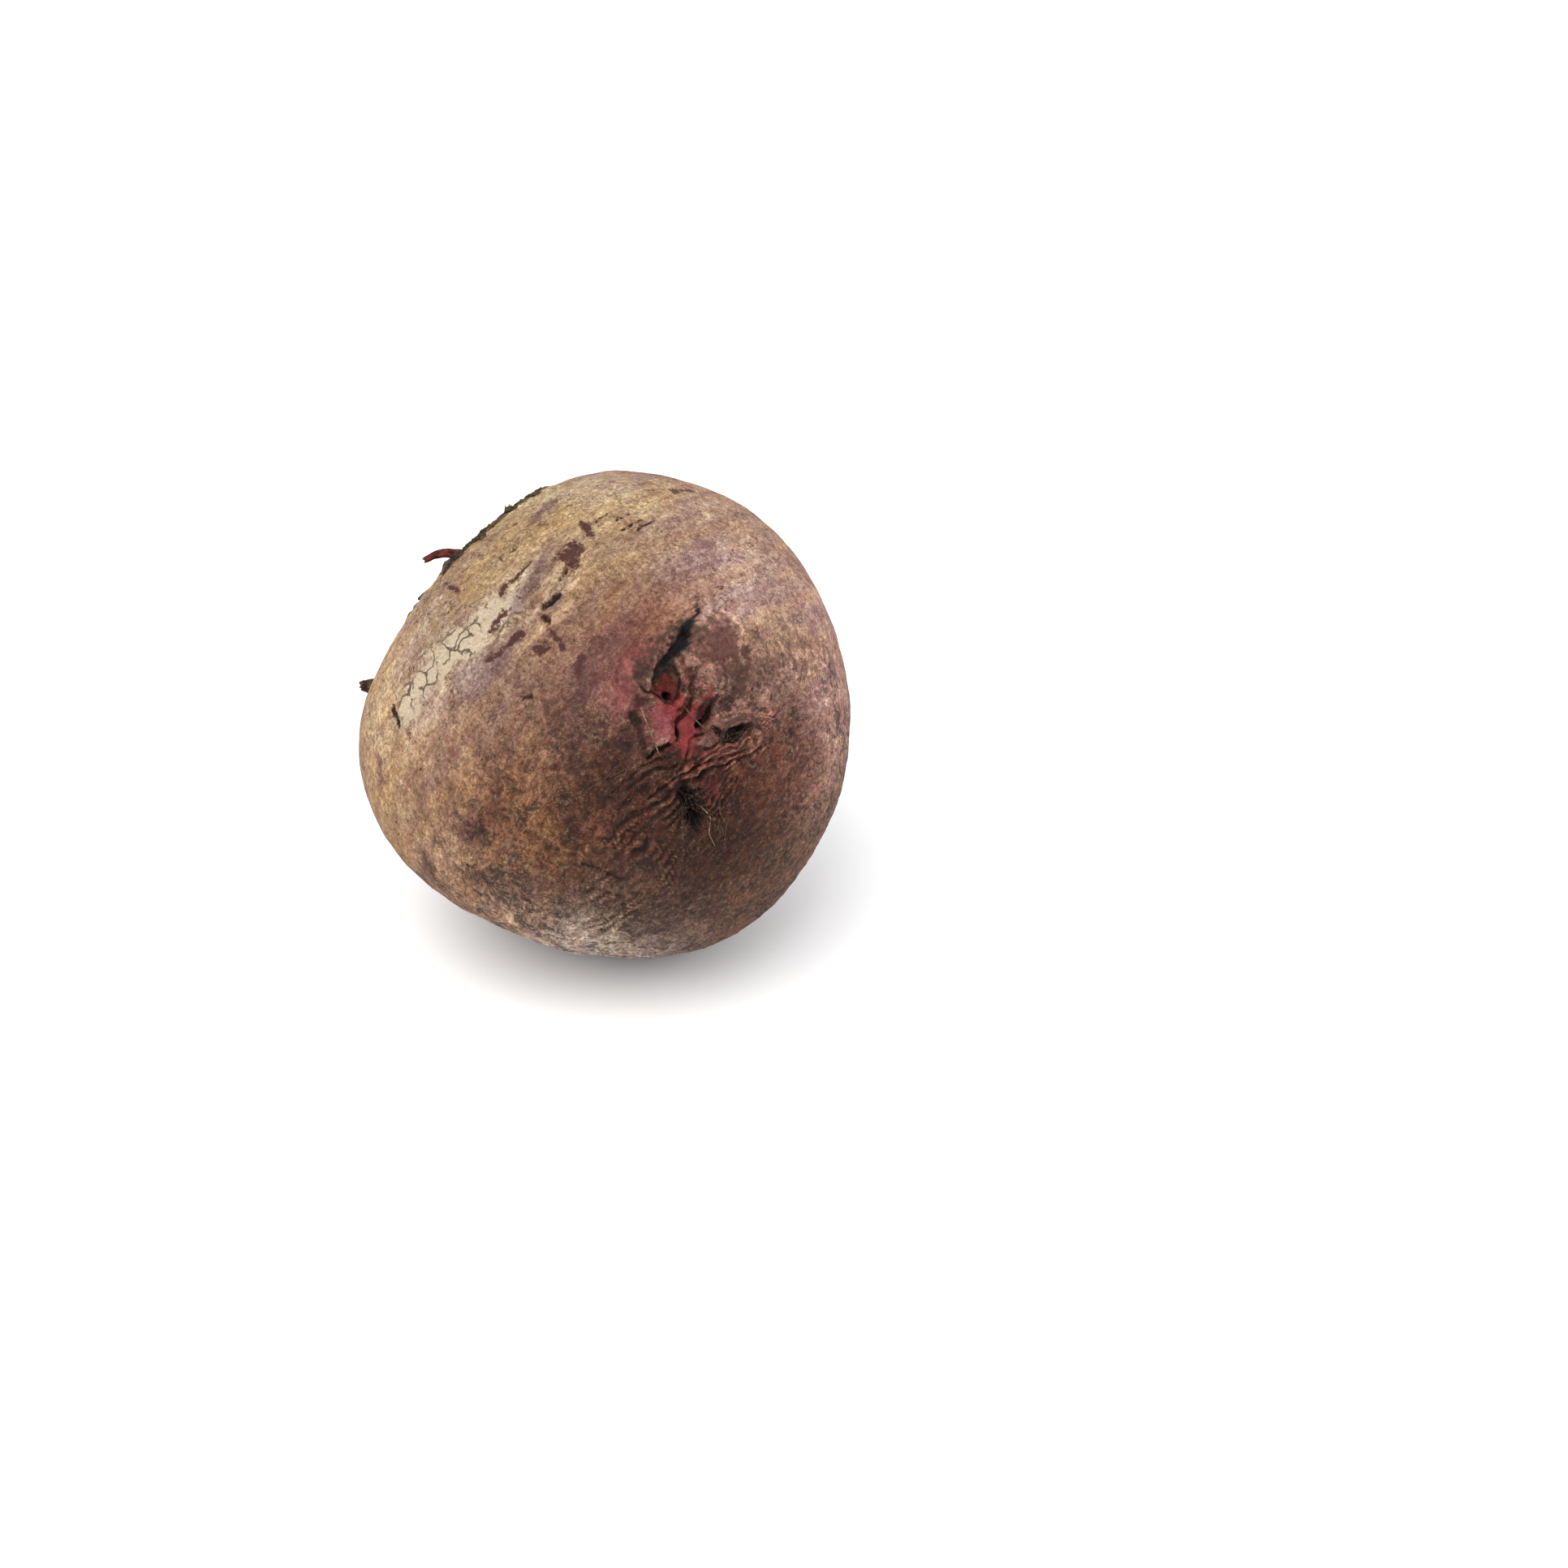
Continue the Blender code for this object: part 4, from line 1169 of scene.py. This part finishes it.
def addStalks():
    plan = stalkPlan
    finishes = {kind: fibreFinish(kind + "StalkFinish", plan[kind]) for kind in ("red", "dry", "fleshy")}
    for number, (node, clock, beyond, length, thickness, bend, leanClock, kind) in enumerate(stalks):
        rng = random.Random(number + 11)
        foot = crownHeading(clock, rootPlan["scarRadius"] + beyond * mm)
        start, normal = skinSpot(foot)
        normal = (normal + Vector(foot)).normalized()
        length *= mm
        lean = Vector(crownSide(leanClock)) * bend * length
        stops = [
            start - normal * plan["sunk"],
            start + normal * 0.4 * length,
            start + normal * 0.75 * length + lean * 0.4,
            start + normal * (1 - 0.3 * bend) * length + lean,
        ]
        for index in (1, 2):  # a torn stub dries straighter than it grew
            stops[index] = stops[index].lerp(stops[0].lerp(stops[3], index / 3), plan["straight"])
        route = smoothRoute(stops, plan["steps"])
        last = len(route) - 1
        radii = []
        for index in range(len(route)):
            t = index / last
            share = 1 - plan["taper"] * t + plan["flare"] * max(0, 1 - t * 4) ** 2
            radii.append(plan["radius"] * thickness * share)
        bm = bmesh.new()
        sweepTube(bm, route, radii, plan["sides"], 0.8)
        tip, along = route[-1], (route[-1] - route[-2]).normalized()
        ribs = rng.choice((5, 6, 7))
        for vert in bm.verts:
            nearest = min(range(len(route)), key=lambda index: (route[index] - vert.co).length_squared)
            outward = vert.co - route[nearest]
            outward -= along * outward.dot(along) * 0.5
            angle = math.atan2(outward.dot(along.orthogonal()), outward.dot(along.cross(along.orthogonal())))
            rough = noise.noise(vert.co * 1400 + Vector((number * 5, 0, 0)))
            vert.co += outward * (plan["ribs"] * math.cos(angle * ribs + nearest * 0.12) + 0.16 * rough)
            if nearest >= last - 1:  # the torn end: every fibre breaks at its own height
                torn = noise.noise(vert.co * 2600 + Vector((0, number * 3, 0))) * 1.6
                vert.co += along * plan["torn"] * torn
        for strand in range(plan["strands"]):
            angle = rng.uniform(0, 2 * math.pi)
            side = along.orthogonal().normalized()
            side.rotate(Matrix.Rotation(angle, 3, along))
            rootSpot = tip + side * radii[-1] * rng.uniform(0.3, 0.8) - along * 0.2 * mm
            reach = rng.uniform(*plan["strandReach"])
            middle = rootSpot + along * reach * 0.6 + side * reach * 0.2
            stray = [rootSpot, middle, rootSpot + along * reach + side * reach * 0.6]
            thin = [plan["strandRadius"] * (1 - 0.12 * step) for step in range(7)]
            sweepTube(bm, smoothRoute(stray, 3), thin, 5)
        piece = finishPiece(bm, camelName(node), finishes[kind])
        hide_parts(node)


addStalks()
print("leaf stalks made")


# taproot tip and rootlets
rootletPlan = {
    "steps": 10,
    "sides": 12,
    "taper": 0.6,
    "knobs": 0.22,  # how uneven a rootlet's thickness is
    "pale": fibre(900, 3000, (0.11, 0.065, 0.04), (0.27, 0.175, 0.12), (0.6, 0.8), 0.1),
    "brown": fibre(900, 3000, (0.035, 0.018, 0.009), (0.13, 0.075, 0.035), (0.5, 0.75), 0.1),
    "tip": fibre(420, 1600, (0.022, 0.011, 0.010), (0.085, 0.043, 0.032), (0.5, 0.75), 0.2),
}
# node, radius in mm, how deep it sits in the skin as a share of its radius, finish, (right, up) stops in mm
rootletStops = (
    ("taproot_tip", 0.62, 0.35, "tip",
     ((4.8, -4.9), (5.2, -2.6), (6.2, -0.4), (8.4, 0.6), (10.8, -0.2), (12.4, -2.2), (12.6, -4.0))),
    ("rootlet_pale", 0.16, -0.9, "pale", ((-8.0, 6.4), (-7.5, 3.4), (-7.0, 0.6), (-6.7, -1.8))),
    ("rootlet_brown", 0.16, -0.9, "brown", ((-0.4, 5.2), (1.4, 2.2), (3.0, 0.0), (5.2, -2.2))),
    ("rootlet_lower_a", 0.15, -0.9, "pale", ((-0.6, -12.6), (0.8, -14.8), (0.2, -17.4), (1.4, -20.4))),
    ("rootlet_lower_b", 0.15, -0.9, "brown", ((3.0, -12.0), (2.6, -14.4), (3.6, -17.0), (3.2, -19.6))),
)


def addRootlets():
    plan = rootletPlan
    finishes = {kind: fibreFinish(kind + "RootletFinish", plan[kind]) for kind in ("pale", "brown", "tip")}
    for number, (node, radius, sunk, kind, places) in enumerate(rootletStops):
        radius *= mm
        stops = [skinSpot(hollowHeading(*place), -sunk * radius)[0] for place in places]
        route = smoothRoute(stops, plan["steps"])
        radii = []
        for index, spot in enumerate(route):
            t = index / (len(route) - 1)
            rough = noise.noise(spot * 900 + Vector((number * 7, 0, 0)))
            share = (1 - plan["taper"] * t) * (1 + plan["knobs"] * rough) * min(1, 0.45 + 5 * t)
            radii.append(radius * share)
        bm = bmesh.new()
        verts = sweepTube(bm, route, radii, plan["sides"], 0.8)
        for vert in verts:
            vert.co += Vector((1, 1, 1)) * 0.06 * radius * noise.noise(vert.co * 2600)
        piece = finishPiece(bm, camelName(node), finishes[kind])
        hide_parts(node)


addRootlets()
print("rootlets made")


# fine hairs in the hollow
hairPlan = {
    # right, up, reach across, reach along in mm, how many, length in mm, usual direction, scatter in degrees
    "zones": (
        (-2.4, -12.0, 2.6, 4.6, 40, 3.2, -75, 35),
        (-5.5, 4.0, 4.5, 5.5, 10, 2.0, -80, 60),
        (3.0, 1.0, 4.0, 4.5, 12, 2.4, -40, 50),
        (1.5, -17.0, 3.5, 4.0, 26, 3.6, -105, 30),
        (8.0, -3.4, 4.0, 2.4, 20, 3.0, 15, 30),
        (3.5, 9.5, 2.6, 3.6, 14, 1.8, -60, 60),
        (-13.0, -5.6, 5.0, 3.4, 14, 3.4, 35, 14),
    ),
    "radius": 0.042 * mm,
    "lift": 0.12 * mm,
    "sunk": 0.2 * mm,
    "finish": fibre(500, 2400, (0.03, 0.018, 0.010), (0.13, 0.085, 0.05), (0.6, 0.85), 0.05),
}


def addHairs():
    plan, rng = hairPlan, random.Random(5)
    bm = bmesh.new()
    for across, along, spreadAcross, spreadAlong, count, length, usual, scatter in plan["zones"]:
        for hair in range(count):
            u, v = rng.gauss(across, spreadAcross / 2), rng.gauss(along, spreadAlong / 2)
            angle = math.radians(rng.gauss(usual, scatter))
            reach, curl = length * rng.uniform(0.5, 1.2), rng.uniform(-0.9, 0.9)
            stops = []
            for step in range(4):
                lift = plan["lift"] * (1 + 1.6 * (step % 2)) - (plan["sunk"] if step == 0 else 0)
                stops.append(skinSpot(hollowHeading(u, v), lift)[0])
                u, v = u + math.cos(angle) * reach / 3, v + math.sin(angle) * reach / 3
                angle += curl / 3 * 1.4
            route = smoothRoute(stops, 3)
            size = plan["radius"] * rng.uniform(0.7, 1.4)
            sweepTube(bm, route, [size * (1 - 0.07 * index) for index in range(len(route))], 4)
    finishPiece(bm, "rootHairs", fibreFinish("hairFinish", plan["finish"]))


addHairs()
print("hairs made")


# dark crust on the crown's rim, and crumbs of soil
crustPlan = {
    "flakes": 150,
    "size": (0.35, 1.05),  # mm
    "finish": fibre(420, 1800, (0.014, 0.010, 0.006), (0.10, 0.068, 0.037), (0.75, 0.92), 0.25),
}
crumbPlan = {
    "crumbs": 320,
    "size": (0.08, 0.26),
    "finish": fibre(300, 2200, (0.02, 0.013, 0.007), (0.11, 0.074, 0.043), (0.8, 0.95), 0.1),
}


def addLump(bm, spot, normal, size, flat, rng, detail):
    turn = normal.to_track_quat("Z", "Y").to_matrix().to_4x4() @ Matrix.Rotation(rng.uniform(0, 6.28), 4, "Z")
    scale = Matrix.Diagonal((size * rng.uniform(0.8, 1.5), size * rng.uniform(0.6, 1.0), size * flat, 1))
    frameOfLump = Matrix.Translation(spot) @ turn @ scale
    made = bmesh.ops.create_icosphere(bm, subdivisions=detail, radius=1.0, matrix=frameOfLump)["verts"]
    shift = Vector((rng.uniform(0, 50), rng.uniform(0, 50), 0))
    for vert in made:
        vert.co += (vert.co - spot) * 0.75 * noise.noise((vert.co - spot) / size * 1.3 + shift)


def addCrust():
    plan, rng = crustPlan, random.Random(21)
    bm = bmesh.new()
    for flake in range(plan["flakes"]):
        if flake % 4:
            turnA, liftA, turnB, liftB, width = rng.choice(crownPlan["crust"])
            along = rng.random()
            way = heading(turnA, liftA) * (1 - along) + heading(turnB, liftB) * along
            scatter = 0.45 * width * mm / rootPlan["radius"]
            way = way + np.array([rng.gauss(0, 1) for side in range(3)]) * scatter
        else:
            way = crownHeading(rng.uniform(-180, 180), rootPlan["scarRadius"] + rng.gauss(0.5, 2.2) * mm)
        spot, normal = skinSpot(way)
        size = rng.uniform(*plan["size"]) * mm * (1.0 if flake % 4 else 0.8)
        addLump(bm, spot, normal, size, rng.uniform(0.25, 0.55), rng, 2)
    finishPiece(bm, "crownCrust", fibreFinish("crustFinish", plan["finish"]), False)


def addCrumbs():
    plan, rng = crumbPlan, random.Random(33)
    bm = bmesh.new()
    for crumb in range(plan["crumbs"]):
        pick = rng.random()
        if pick < 0.45:
            way = hollowHeading(rng.gauss(0, 9), rng.gauss(-9, 9))
        elif pick < 0.75:
            way = heading(rng.uniform(-150, -20), rng.uniform(-45, 20))
        else:
            way = crownHeading(rng.uniform(-180, 180), rng.uniform(2, 26) * mm)
        spot, normal = skinSpot(way)
        addLump(bm, spot, normal, rng.uniform(*plan["size"]) * mm, rng.uniform(0.4, 0.8), rng, 1)
    finishPiece(bm, "soilCrumbs", fibreFinish("crumbFinish", plan["finish"]), False)


addCrust()
addCrumbs()
print("crust and crumbs made")
